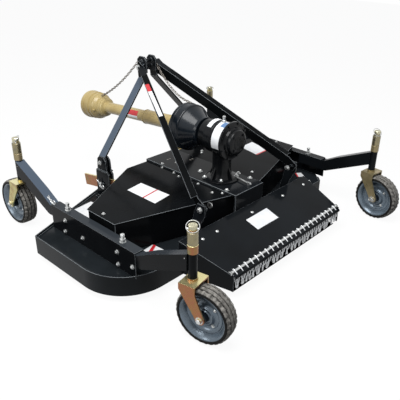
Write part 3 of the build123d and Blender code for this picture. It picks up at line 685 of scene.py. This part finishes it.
for name, side, end, _ in casters:
    dress(yellow_zinc, "caster_spacers_" + name)
    stem = Vector((side * stem_x, end * stem_y, 0))
    body = "caster_" + name
    low = sleeve_low
    sleeves = []
    for height in sleeve_heights:
        high = low + height - sleeve_gap
        wall = [
            (low, sleeve_bore), (low, sleeve_face), (low + sleeve_chamfer, sleeve_radius),
            (high - sleeve_chamfer, sleeve_radius), (high, sleeve_face), (high, sleeve_bore),
        ]
        sleeves.append(ring_of(wall, stem, upright))
        low += height
    lower_paint = rosy_zinc if name == "rear_left" else olive_zinc
    lower = gather("height_sleeve_lower_" + name, sleeves[:1], lower_paint, body)
    upper = gather("height_sleeve_upper_" + name, sleeves[1:], yellow_sleeve, body)
    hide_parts("caster_spacers_" + name)
    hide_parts("caster_spacers_" + name)
    top = low + stem_rise
    head = [
        (low, 14.4), (low, 20), (low + 3, 20), (low + 3.5, 15), (top - 14, 15), (top - 13, 18.4),
        (top - 2, 18.6), (top + 0.4, 16.5), (top + 1.2, 0),
    ]
    gather("stem_end_" + name, [lathe(head, stem, upright, 40)], pale_zinc, body)
    heading = math.radians(ring_headings[name])
    _, one, two = square_to((math.cos(heading), math.sin(heading), ring_lean))
    middle = stem + Vector((0, 0, low + ring_rise))
    loop = []
    for k in range(ring_steps):
        angle = math.tau * k / ring_steps
        out = one * ring_half_width * math.cos(angle)
        loop.append(middle + out + two * ring_half_height * math.sin(angle))
    pin_way = Vector((-math.sin(heading), math.cos(heading), 0))
    pin_middle = stem + Vector((0, 0, low + pin_rise))
    pin = wire([pin_middle - pin_way * pin_half, pin_middle + pin_way * pin_half], pin_radius, 16)
    parts = [wire(loop, ring_wire, closed=True), pin]
    gather("linch_pin_" + name, parts, bright_zinc, body)
    spot = stem + Vector((nipple_x * side, nipple_y * -end, nipple_z))
    fitting = lathe(nipple, spot, (side * nipple_out, -end * nipple_out, nipple_tilt), 12)
    gather("grease_nipple_" + name, [fitting], bright_zinc, "deck")

# Chain curtain.
# Retaining links of zinc-plated wire hook over a plated rod along the hood's rear edge.
# Each one holds two short welded strands of two links, which hang behind the hood's lip.
rod_y = -607.0
rod_z = 129.5
rod_half = 456.0
rod_radius = 7.0
chain_count = 23
chain_margin = 22
link_length = 38.0
link_width = 17.0
link_wire = 2.9
link_play = 1.5
half_round_steps = 6
strand_splay = 9.0
strand_links = 2
strand_drop = 17
strand_swing = (-0.42, 0.16)
strand_lean = (-0.02, 0.06)
link_twist = 0.4
link_turns = (math.pi / 2, 0.3)
collar_radius = 11
collar_width = 3
collar_places = (0, 7)
lip_half = 459
lip_front_y = -602.8
lip_front_z = 123.6
lip_rear = -634.0
lip_behind = 8
lip_top = 116
lip_low = 109
lip_wall = 3
lip_sheet = 4


def link_at(middle, down, flat, length=link_length, width=link_width, gauge=link_wire, sides=8):
    """A welded chain link: two straight sides and two half rounds."""
    down = Vector(down).normalized()
    flat = Vector(flat).normalized()
    radius = width / 2 - gauge
    straight = length / 2 - gauge - radius
    line = []
    for s in (1, -1):
        for k in range(half_round_steps + 1):
            angle = math.pi * k / half_round_steps
            bow = down * s * (straight + radius * math.sin(angle))
            line.append(Vector(middle) + bow + flat * s * radius * math.cos(angle))
    return wire(line, gauge, sides, closed=True)


def block(x, y, z):
    """A block between two values of each of x, y and z."""
    verts = [(a, b, c) for a in x for b in y for c in z]
    faces = [(0, 1, 3, 2), (4, 5, 7, 6), (0, 1, 5, 4), (2, 3, 7, 6), (0, 2, 6, 4), (1, 3, 7, 5)]
    return verts, faces


def sheet_on(corners, thickness):
    """A flat piece of some thickness standing out from its corners' plane."""
    corners = [Vector(c) for c in corners]
    out = (corners[1] - corners[0]).cross(corners[2] - corners[1]).normalized() * thickness
    count = len(corners)
    verts = corners + [c + out for c in corners]
    faces = [tuple(range(count)), tuple(range(count, 2 * count))]
    faces += [(i, (i + 1) % count, (i + 1) % count + count, i + count) for i in range(count)]
    return verts, faces


# Zinc on the chains, painted nearly white and less metallic than the rod's so that it scatters more light: a
# painted highlight.
chain_zinc_painted_bright = finish(
    "chain_zinc_painted_highlight", [(0.3, "#dfe2e3"), (0.7, "#f0f1f1")], (0.2, 0.34),
    metal=0.25, blotch=12, grain=0.6, bump=0.04,
)
dress(bright_zinc, "chain_rail")
random.seed(7)
curtain = []
pitch = 2 * (rod_half - chain_margin) / (chain_count - 1)
step = link_length - 2 * link_wire - link_play
over = Vector((0, -0.8, -0.6))
for i in range(chain_count):
    x = -rod_half + chain_margin + i * pitch
    top = Vector((x, rod_y, rod_z)) - over * (rod_radius + link_wire)
    curtain.append(link_at(top + over * (link_length / 2 - link_wire), over, (0, 0.6, -0.8)))
    for s in (-1, 1):
        down = Vector((s * random.uniform(*strand_swing), random.uniform(*strand_lean), -1)).normalized()
        first = Vector((x + s * strand_splay, lip_rear + lip_behind, rod_z - strand_drop - link_length / 2))
        for k in range(strand_links):
            turn = random.uniform(-link_twist, link_twist) + link_turns[k % 2]
            flat = Vector((math.cos(turn), math.sin(turn), 0))
            flat = flat - down * flat.dot(down)
            curtain.append(link_at(first + down * step * k, down, flat))
chains = gather("chain_curtain", curtain, chain_zinc_painted_bright, "deck", 50)
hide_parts("chain_rail")
rod_parts = [wire([(-rod_half, rod_y, rod_z), (rod_half, rod_y, rod_z)], rod_radius, 20)]
for s in (-1, 1):
    for near in collar_places:
        far = near + collar_width
        collar = [(near, rod_radius), (near, collar_radius), (far, collar_radius), (far, rod_radius)]
        rod_parts.append(lathe(collar, (s * (rod_half - 1), rod_y, rod_z), (s, 0, 0), 20))
gather("chain_rod", rod_parts, bright_zinc, "deck")
lip_corners = [
    (-lip_half, lip_front_y, lip_front_z), (lip_half, lip_front_y, lip_front_z),
    (lip_half, lip_rear, lip_top), (-lip_half, lip_rear, lip_top),
]
lip_edge = block((-lip_half, lip_half), (lip_rear - lip_wall, lip_rear), (lip_low, lip_top))
lip = [sheet_on(lip_corners, -lip_sheet), lip_edge]
gather("hood_rear_lip", lip, black_powder_coat, "deck")

# Gearbox.
# A right-angle box cast in iron: ribbed barrel, flange, end cap, neck and foot.
# It stands on its foot over the stand, and its cap and flange are bolted on.
gear_z = 538.0
gear_y = -135.0
axis_y = (0, 1, 0)
barrel_radius = 90
barrel = [
    (-246, 0), (-246, 20), (-248, 22), (-248, 34), (-246, 36), (-246, 60), (-243, 65), (-238, 67), (-222, 67),
    (-220, 72), (-210, 76), (-208, 80), (-208, 101), (-206, 103), (-196, 103), (-194, 101), (-194, 91),
    (-190, 90), (-120, 90), (-117, 92), (-111, 92), (-108, 90), (-76, 90), (-68, 83), (-30, 81), (-28, 79),
    (-28, 48), (60, 48), (60, 17), (116, 17), (116, 0),
]
neck = [
    (305, 0), (305, 95), (306, 96), (312, 96), (314, 93), (315, 62), (330, 56), (350, 52), (gear_z - 85, 52),
    (gear_z - 62, 60), (gear_z, 60), (gear_z, 0),
]
foot_top = 314
web_count = 4
web_thickness = 8
web_inner, web_outer, web_head, web_height = 48, 84, 50, 70
# Each ring of bolts: how many, its radius, its face along y and the bolts' size.
cap_bolts = [(8, 95, -208, 6.5), (4, 50, -246, 6)]
breather_y = -142
breather_nut = 10
breather = [(0, 0), (0, 6), (12, 6), (14, 8), (24, 8), (26, 5), (26, 0)]

# Gloss enamel on cast iron, a little uneven over the casting's skin.
cast_iron_paint = finish(
    "cast_iron_paint", [(0.3, "#0b0c0e"), (0.7, "#111315")], (0.16, 0.26),
    ior=1.26, blotch=80, grain=2.5, bump=0.05,
)
dress(cast_iron_paint, "gearbox_housing")
housing = [lathe(barrel, (0, 0, gear_z), axis_y, 96), lathe(neck, (0, gear_y, 0), upright, 64)]
for k in range(web_count):
    angle = math.tau * k / web_count
    away = Vector((math.cos(angle), math.sin(angle), 0))
    across = Vector((-away.y, away.x, 0)) * (web_thickness / 2)
    foot = Vector((0, gear_y, foot_top))
    crest = foot + away * web_head + Vector((0, 0, web_height))
    web = [foot + away * web_inner + across, foot + away * web_outer + across, crest + across]
    housing.append(sheet_on(web, web_thickness))
casting = gather("gearbox_casting", housing, cast_iron_paint, "deck", 32)
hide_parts("gearbox_housing")
gear_bolts = []
for count, radius, face_y, size in cap_bolts:
    for k in range(count):
        angle = math.tau * (k + 0.5) / count
        spot = (radius * math.cos(angle), face_y, gear_z + radius * math.sin(angle))
        gear_bolts += bolt(spot, (0, -1, 0), size)
gather("gearbox_cover_bolts", gear_bolts, cast_iron_paint, "deck")
plugs = bolt((0, breather_y, gear_z + barrel_radius - 1), upright, breather_nut)
plugs.append(lathe(breather, (0, breather_y, gear_z + barrel_radius + 6), upright, 20))
gather("gearbox_breather", plugs, bright_zinc, "deck")

# Input bell.
# A guard moulded in black plastic over the gearbox's input joint, clipped to its boss.
# A raised band runs round its open front.
bell_outer = [
    (-8, 49), (-8, 78), (-6, 80), (6, 82), (8, 81), (10, 77), (14, 78), (78, 119), (82, 122),
    (84, 128), (87, 130), (94, 130.5), (96, 129), (126, 130), (128, 131.5), (136, 132), (138, 130),
    (149, 129), (150, 127),
]
bell_inner = [(150, 124), (90, 124), (82, 118), (12, 74), (4, 72), (4, 49)]
dress(moulded_black, "input_guard")
bell_wall = ring_of(bell_outer + bell_inner, (0, 0, gear_z), axis_y, 96)
bell = gather("input_bell", [bell_wall], moulded_black, "deck", 30)
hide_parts("input_guard")

# Driveline.
# A bare steel shaft with yokes turns inside two telescoping tubes of moulded tan plastic.
# At the tractor's end the front tube carries a ribbed cone with its drum and three knobs.
drive_slope = math.radians(4.17)
drive_way = Vector((0, math.cos(drive_slope), -math.sin(drive_slope)))
drive_start = Vector((0, 113, gear_z))
rear_tube = [
    (34, 39), (34, 42), (354, 42), (356, 44), (362, 44), (363, 42), (363, 39),
    (130, 39), (130, 19.4), (118, 19.4), (118, 39),
]
cone = [
    (363, 35), (738, 35), (740, 38), (746, 39), (748, 44), (752, 52), (760, 56), (762, 60), (766, 61),
    (768, 58), (784, 60), (786, 64), (791, 65), (793, 62), (798, 63), (804, 70), (812, 76), (818, 79),
    (820, 83), (826, 84), (828, 80), (850, 82), (852, 86), (858, 87), (860, 83), (896, 86), (898, 89),
    (914, 90), (922, 89), (924, 86),
]
cone_inner = [
    (924, 84), (830, 76), (806, 66), (752, 42), (752, 19.4), (736, 19.4), (736, 32), (283, 32),
    (283, 38.9), (363, 38.9),
]
knob = [(0, 0), (0, 9), (9, 9), (12, 6.5), (13, 0)]
knob_turns = (12, -100, -200)
knob_along = 806
knob_radius = 66

# Tan plastic, moulded with a dull sheen and paler where it is scuffed.
tan_plastic = finish(
    "tan_guard_plastic", [(0.3, "#98834f"), (0.7, "#ad9b69")], (0.26, 0.4), blotch=120, grain=1.2, bump=0.03
)
dress(bare_steel, "driveline_shaft")
dress(tan_plastic, "driveline_guard_rear", "driveline_guard_front")
tube_wall = ring_of(rear_tube, drive_start, drive_way, 64)
guard_rear = gather("guard_tube_rear", [tube_wall], tan_plastic, "deck", 30)
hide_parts("driveline_guard_rear")
cone_wall = ring_of(cone + cone_inner, drive_start, drive_way, 96)
guard_front = gather("guard_cone_front", [cone_wall], tan_plastic, "deck", 30)
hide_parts("driveline_guard_front")
knobs = []
for turn in knob_turns:
    angle = math.radians(turn)
    out = Vector((math.sin(angle), 0, math.cos(angle)))
    spot = drive_start + drive_way * knob_along + out * knob_radius
    knobs.append(lathe(knob, spot, out, 20))
gather("guard_knobs", knobs, tan_plastic, "deck")

# Cover and stand fixings.
# Zinc-plated hexagons hold the belt covers, the stand and the gearbox's foot.
# A short rod lies on the stand, and two slots show in front of it. The bolts are dropped onto
# the frame's own faces, so that they follow the frame.


def skin(*names):
    """The faces of some of the frame's pieces."""
    verts = []
    faces = []
    for name in names:
        piece = frame["nodes"][name]
        start = len(verts)
        verts += [piece.matrix_world @ v.co for v in piece.data.vertices]
        faces += [[start + k for k in face.vertices] for face in piece.data.polygons]
    return BVHTree.FromPolygons(verts, faces)


def seat(faces, start, way):
    """Where a straight line first meets a skin, in the mower's millimetres, and the way out of it."""
    place, out, _, _ = faces.ray_cast(at(*start), Vector(way))
    return Vector((place.x * 1000, (place.y - shift_y) * 1000, place.z * 1000)), out


def drop(faces, x, y, start):
    """The first place under a point, and the way out of it."""
    return seat(faces, (x, y, start), (0, 0, -1))


under_gearbox = 330
tops = skin("belt_cover_left", "belt_cover_right", "gearbox_stand", "deck_shell", "rear_hood")
cover_bolts = [
    (-694, 0), (-100, 233), (-5, 212), (-127, 109), (198, -194), (46, -300), (165, -290), (228, 229),
    (203, 210), (-31, 189), (-123, 210), (-141, 56), (-159, -213), (-128, -256), (-134, -87), (694, 0),
    (596, -291), (651, -304), (-596, -291), (-651, -304),
]
cover_bolt_size = (6.2, 8)
foot_studs = [(-49, -176), (-74, -78), (74, -78), (62, -190)]
foot_stud_z = 313
stand_studs = [(-23, 4), (108, 10), (108, -166), (106, -252), (-100, -262)]
stand_bolt_size = (9.0, 12)
stand_top = 305.3
stand_rod = [(41, -216, 317), (38, -236, 317), (32, -284, 317), (30, -302, 317)]
stand_rod_radius = 4.5
stand_rod_lug = ((24, 36), (-306, -298), (305.5, 322))
# Each slot is drawn as two thin discs of bare steel on the sheet.
stand_slots = [(67, 163), (-25, 260)]
slot_half = 9
slot_radius = 6.5
slot_rise = 0.6
fixings = []
for x, y in cover_bolts:
    place, out = drop(tops, x, y, under_gearbox)
    fixings += bolt(place, out, *cover_bolt_size)
gather("cover_bolts", fixings, bright_zinc, "deck")
fixings = []
for x, y in foot_studs:
    fixings += bolt((x, y, foot_stud_z), upright, *stand_bolt_size)
for x, y in stand_studs:
    place, out = drop(tops, x, y, under_gearbox)
    fixings += bolt(place, out, *stand_bolt_size)
gather("gearbox_foot_bolts", fixings, bright_zinc, "deck")
stand_rod_parts = [wire(stand_rod, stand_rod_radius, 16), block(*stand_rod_lug)]
gather("stand_rod", stand_rod_parts, bright_zinc, "deck")
slots = []
for x, y in stand_slots:
    for s in (-slot_half, slot_half):
        slots.append(lathe(disc(0, slot_rise, slot_radius), (x + s, y, stand_top), upright, 20))
gather("stand_slots", slots, bare_steel, "deck")

# Rail bolts and adjusting screws.
# Zinc-plated bolts through each rail's upright leaf, and in its flange two standing screws.
# A screw bears on the arm under it, and two nuts and two washers lock it.
sides = skin("side_rail_left", "side_rail_right", "deck_shell", "belt_cover_left", "belt_cover_right")
beside_deck = 1500
rail_bolts = [(206, 211), (-203, 211), (217, 145), (-205, 145), (-308, 179), (66, 169)]
rail_bolt_size = (8.5, 11)
arm_screw_y = 215.0
flange_top = 257
flange_washer = 15
lock_nut_z = 259
lock_nut = (13.0, 11)
screw_low = 262
screw_radius = 7.3
screw_washer_z = 272
screw_washer = 13
screw_head_z = 286
screw_head = (10.5, 12)
fixings = []
screws = []
for s in (-1, 1):
    for y, z in rail_bolts:
        place, out = seat(sides, (s * beside_deck, y, z), (-s, 0, 0))
        fixings += bolt(place, out, *rail_bolt_size)
    for y in (-arm_screw_y, arm_screw_y):
        spot = (s * stem_x, y, 0)
        screws.append(lathe(disc(flange_top, lock_nut_z, flange_washer), spot, upright, 28))
        screws.append(hexagon((s * stem_x, y, lock_nut_z), upright, *lock_nut))
        screws.append(lathe(disc(screw_low, screw_head_z, screw_radius), spot, upright, 20))
        screws.append(lathe(disc(screw_washer_z, screw_washer_z + 2, screw_washer), spot, upright, 28))
        screws.append(hexagon((s * stem_x, y, screw_head_z), upright, *screw_head))
gather("rail_bolts", fixings, bright_zinc, "deck")
gather("arm_adjusting_screws", screws, bright_zinc, "deck")

# Mast, braces and hitch.
# Flat bars, angle irons and plates in black powder coat, bolted together with plated bolts.
# The floating lugs of the hitch are zinc plated, the left one rosier than the right one.
pivot_y = 406.0
pivot_z = 352.0
bracket_face = 409.2
brace_foot_y = -346.0
brace_foot_z = 330.0
foot_outer_face = 391.5
foot_inner_face = 323.0
apex_y = 455.0
apex_z = 820.0
head_face = 65.2
hitch_pin_y = 414
hitch_pin_z = 224
hitch_pin_face = 408.5
hitch_pin_end = [(0, 0), (0, 9), (5, 9), (6, 8), (6, 0)]
pivot_bolt_size = 9
mast_bolt_size = 11
mast_stud = 8

# A darker, duller coat on the long braces; its darkness is painted shade for the dim floor that their faces
# mirror.
painted_shade_brace_coat = finish(
    "brace_powder_coat_painted_shade", [(0.3, "#08090a"), (0.7, "#0c0e0f")], (0.12, 0.2),
    ior=1.1, blotch=220, grain=2.0, bump=0.01,
)
dress(painted_shade_brace_coat, "mast_brace_left", "mast_brace_right")
# The left leg's upper faces carry the painted sky reflection.
dress(painted_sky_sheen_coat, "mast_leg_left")
dress(black_powder_coat, "mast_leg_right", "mast_head", "brace_foot_left", "brace_foot_right")
dress(black_powder_coat, "hitch_bracket_left", "hitch_bracket_right")
dress(rosy_zinc, "hitch_lug_left")
dress(yellow_zinc, "hitch_lug_right")
fixings = []
for s in (-1, 1):
    outward = (s, 0, 0)
    fixings += bolt((s * bracket_face, pivot_y, pivot_z), outward, pivot_bolt_size)
    fixings += bolt((s * foot_outer_face, brace_foot_y, brace_foot_z), outward, mast_bolt_size)
    fixings += bolt((s * foot_inner_face, brace_foot_y, brace_foot_z), (-s, 0, 0), mast_bolt_size, mast_stud)
    fixings += bolt((s * head_face, apex_y, apex_z), outward, mast_bolt_size, mast_stud if s > 0 else 0)
    fixings.append(lathe(hitch_pin_end, (s * hitch_pin_face, hitch_pin_y, hitch_pin_z), outward, 24))
gather("mast_and_hitch_bolts", fixings, bright_zinc, "deck")

# Upper ends of the braces' outer leaves.
# The same angle iron as the braces, running on towards the mast's head and cut off square.
# It follows the bend that lays the brace flat against the mast.
brace_way = Vector((0, apex_y - brace_foot_y, apex_z - brace_foot_z)).normalized()
leaf_up = Vector((0, -brace_way.z, brace_way.y))
leaf_rise = 22
leaf_bend_y = 425.0
leaf_splay = 0.4297
leaf_web_x = 53.6
leaf_width = 40.0
leaf_half_wall = 2.9
leaf_start = -86.0
leaf_bend = -21.7
leaf_stops = {-1: -18.0, 1: 17.0}
leaf_section = [
    (0, -leaf_half_wall), (leaf_width, -leaf_half_wall), (leaf_width, leaf_half_wall), (0, leaf_half_wall),
]
leaf_ends = []
for s, leaf_end in leaf_stops.items():
    verts = []
    for run in (leaf_start, leaf_bend, leaf_end):
        spot = Vector((0, apex_y, apex_z)) + brace_way * run + leaf_up * leaf_rise
        x = leaf_web_x + max(0.0, leaf_bend_y - spot.y) * leaf_splay
        verts += [Vector((s * (x + wide), spot.y, spot.z)) + leaf_up * thick for wide, thick in leaf_section]
    faces = [(0, 1, 2, 3), (8, 9, 10, 11)]
    for start in (0, 4):
        faces += [(start + j, start + (j + 1) % 4, start + 4 + (j + 1) % 4, start + 4 + j) for j in range(4)]
    leaf_ends.append((verts, faces))
gather("brace_leaf_ends", leaf_ends, black_powder_coat, "deck")

# Spring clips.
# Bent from zinc-plated spring wire, they secure the hitch pins.
# A spare one hangs on each front arm.


def curved(points, steps):
    """A smooth line through points."""
    points = [Vector(p) for p in points]
    last = len(points) - 1
    line = []
    for i in range(last):
        a, b, c, d = (points[min(max(i + k, 0), last)] for k in (-1, 0, 1, 2))
        for s in range(steps):
            t = s / steps
            bend = (2 * a - 5 * b + 4 * c - d) * t * t + (3 * b - a - 3 * c + d) * t ** 3
            line.append(0.5 * (2 * b + (c - a) * t + bend))
    line.append(points[-1])
    return line


clip_wire = 2.6
clip_shape = [
    (-26, 12), (-14, 5), (-4, 0), (4, 7), (12, 0), (24, -1), (33, 6), (36, 15), (30, 23), (20, 21),
    (17, 11), (24, 1), (14, -6), (2, -7), (-12, -4), (-30, -8),
]
# Each pair of clips: where it hangs on the right, and how far its line leans.
clip_places = [(411.5, 422, 218, -0.9), (779.0, 322, 283, -0.55)]
clips = []
for s in (-1, 1):
    for x, y, z, lean in clip_places:
        along = Vector((0, -math.cos(lean), math.sin(lean)))
        aside = Vector((0, math.sin(lean), math.cos(lean)))
        line = [Vector((s * x, y, z)) + along * a + aside * b for a, b in clip_shape]
        clips.append(wire(curved(line, 4), clip_wire))
gather("spring_clips", clips, bright_zinc, "deck", 50)

# Hood fixings.
# Zinc-plated carriage bolts with round heads, in a row along the hood's front edge.
# They hold its sheet down to the deck.


def dome(place, axis, radius, height):
    """A carriage bolt's round head."""
    outline = [(height * math.sin(a), radius * math.cos(a)) for a in (0, 0.35, 0.7, 1.05, 1.35, math.pi / 2)]
    return lathe([(0, 0)] + outline, place, axis, 24)


hood_bolts_x = (-412, -310, -35, 240, 447)
hood_bolts_y = -388
hood_bolt_size = (9.0, 4.5)
fixings = []
for x in hood_bolts_x:
    place, out = drop(tops, x, hood_bolts_y, under_gearbox)
    fixings.append(dome(place, out, *hood_bolt_size))
gather("hood_carriage_bolts", fixings, bright_zinc, "deck")

# Safety chains.
# Two light chains of bare steel wire keep the driveline's guards from turning.
# They hang from the mast's head, and each one sags between its two ends.
safety_link = (25.0, 15.0, 2.2)
# Each chain: its two ends, and how far it sags as a share of its span.
safety_runs = [((-58, 470, 846), (-8, 905, 552), 0.045), ((40, 424, 836), (30, 132, 667), 0.13)]


def hanging(start, end, slack):
    """A light chain that hangs between two places."""
    start = Vector(start)
    end = Vector(end)
    length, width, gauge = safety_link
    span = (end - start).length
    count = max(2, round(span * (1 + slack * slack * 2) / (length - 2.4 * gauge)))
    points = []
    for i in range(count + 1):
        t = i / count
        points.append(start.lerp(end, t) - Vector((0, 0, 4 * slack * t * (1 - t) * span)))
    parts = []
    for i in range(count):
        way = (points[i + 1] - points[i]).normalized()
        side = way.cross(Vector((0, 0, 1))).normalized()
        flat = side if i % 2 else way.cross(side)
        parts.append(link_at((points[i] + points[i + 1]) / 2, way, flat, length, width, gauge, 6))
    return parts


safety = []
for start, end, slack in safety_runs:
    safety += hanging(start, end, slack)
gather("safety_chains", safety, bare_steel, "deck", 50)

# Labels.
# Plain white films of vinyl with red and blue bands.
# They are stuck to the covers, deck, hood, left brace, gearbox and driveline guard.


def film(faces, corners, start, thick=0.5):
    """A blank film laid on a flat face, from its corners seen from above."""
    places = [drop(faces, x, y, start)[0] for x, y in corners]
    flat = sheet_on(places, thick)
    if (flat[0][len(places)] - flat[0][0]).z < 0:
        flat = sheet_on(places[::-1], thick)
    return flat


def between(corners, low, high):
    """The part of a four-cornered film between two shares of its length."""
    a, b, c, d = (Vector((x, y, 0)) for x, y in corners)
    strip = [a.lerp(b, low), a.lerp(b, high), d.lerp(c, high), d.lerp(c, low)]
    return [(p.x, p.y) for p in strip]


def wrapped(place, axis, radius, along, turns, thick=0.5, steps=24):
    """A film wrapped round a tube, between two places along it and two turns."""
    axis = Vector(axis).normalized()
    side = Vector((-1, 0, 0))
    up = side.cross(axis)
    if up.z < 0:
        up = -up
    verts = []
    for i in range(steps + 1):
        turn = math.radians(turns[0] + (turns[1] - turns[0]) * i / steps)
        out = up * math.cos(turn) + side * math.sin(turn)
        for a, r in ((along[0], 0), (along[1], 0), (along[1], thick), (along[0], thick)):
            verts.append(Vector(place) + axis * a + out * (radius + r))
    faces = [(0, 1, 2, 3), tuple(4 * steps + k for k in range(4))]
    for i in range(steps):
        for k in range(4):
            n = (k + 1) % 4
            faces.append((4 * i + k, 4 * i + n, 4 * i + 4 + n, 4 * i + 4 + k))
    return verts, faces


over_mast = 900
deck_top = skin("deck_shell")
braces = skin("mast_brace_left", "mast_brace_right")
band_thick = 0.9
cover_label_left = [(-343, 139), (-334, -75), (-450, -93), (-449, 123)]
cover_label_right = [(455, 102), (422, -54), (538, -51), (576, 109)]
# Each cover's red band: its film, and the shares of the film's length that it lies between.
cover_bands = [(cover_label_left, 0.56, 0.6), (cover_label_right, 0.93, 1.0)]
hood_label = [(-113.8, -410.8), (64.7, -407.2), (63.5, -490.1), (-112.6, -490.0)]
deck_labels = [
    [(-602, 414), (-474.4, 430.6), (-473.5, 403.4), (-598.2, 257.7)],
    [(-640, -178), (-534.8, -166.2), (-530.4, -255.4), (-640, -262)],
    [(650, -215), (690, -170), (722, -195), (690, -245)],
]
deck_bands = [
    [(650, -215), (690, -170), (696, -176), (658, -220)],
    [(-620, -214), (-534, -168), (-532, -186), (-620, -236)],
]
brace_plan_x = 60
brace_plan_slope = 0.393
brace_label_width = 27
brace_label_y = (118, 268)
brace_band_y = (268, 312)
guard_along = (412.0, 500.0)
guard_radius = 35.1
guard_label_turns = (86, 112)
guard_band_turns = (34, 86)
film_radius = barrel_radius + 0.1
band_radius = barrel_radius + 0.3
# Each film round the barrel: its two ends along y, its two turns in degrees, and its steps.
barrel_films = [((-188, -134), (-4, 112), 36), ((-106, -78), (-18, 44), 24)]
barrel_band = ((-187, -156), (2, 30))

# Vinyl film, smooth with a soft sheen.
label_white = finish("label_white_film", [(0.4, "#d6d8d9"), (0.6, "#dedfdf")], (0.3, 0.4), blotch=60)
label_red = finish("label_red_film", [(0.4, "#b3242b"), (0.6, "#bd2a30")], (0.3, 0.4), blotch=60)
label_blue = finish("label_blue_film", [(0.4, "#4f6f96"), (0.6, "#5a7aa0")], (0.3, 0.4), blotch=60)


def brace_strip(low_y, high_y):
    """A film on the left brace's upper flange, between two places along it."""
    corners = []
    for y, half in ((high_y, -brace_label_width), (high_y, 0), (low_y, 0), (low_y, -brace_label_width)):
        corners.append((-(brace_plan_x + (apex_y - y) * brace_plan_slope) + half, y))
    return film(braces, corners, over_mast)


whites = [film(tops, corners, under_gearbox) for corners in (cover_label_left, cover_label_right, hood_label)]
whites += [film(deck_top, corners, under_gearbox) for corners in deck_labels]
whites.append(brace_strip(*brace_label_y))
whites.append(wrapped(drive_start, drive_way, guard_radius, guard_along, guard_label_turns))
for along, turns, steps in barrel_films:
    whites.append(wrapped((0, 0, gear_z), axis_y, film_radius, along, turns, steps=steps))
reds = []
for corners, low, high in cover_bands:
    reds.append(film(tops, between(corners, low, high), under_gearbox, band_thick))
reds += [film(deck_top, corners, under_gearbox, band_thick) for corners in deck_bands]
reds.append(brace_strip(*brace_band_y))
reds.append(wrapped(drive_start, drive_way, guard_radius, guard_along, guard_band_turns))
gather("label_films", whites, label_white, "deck")
gather("label_bands", reds, label_red, "deck")
blue = wrapped((0, 0, gear_z), axis_y, band_radius, *barrel_band, band_thick)
gather("label_blue_band", [blue], label_blue, "deck")
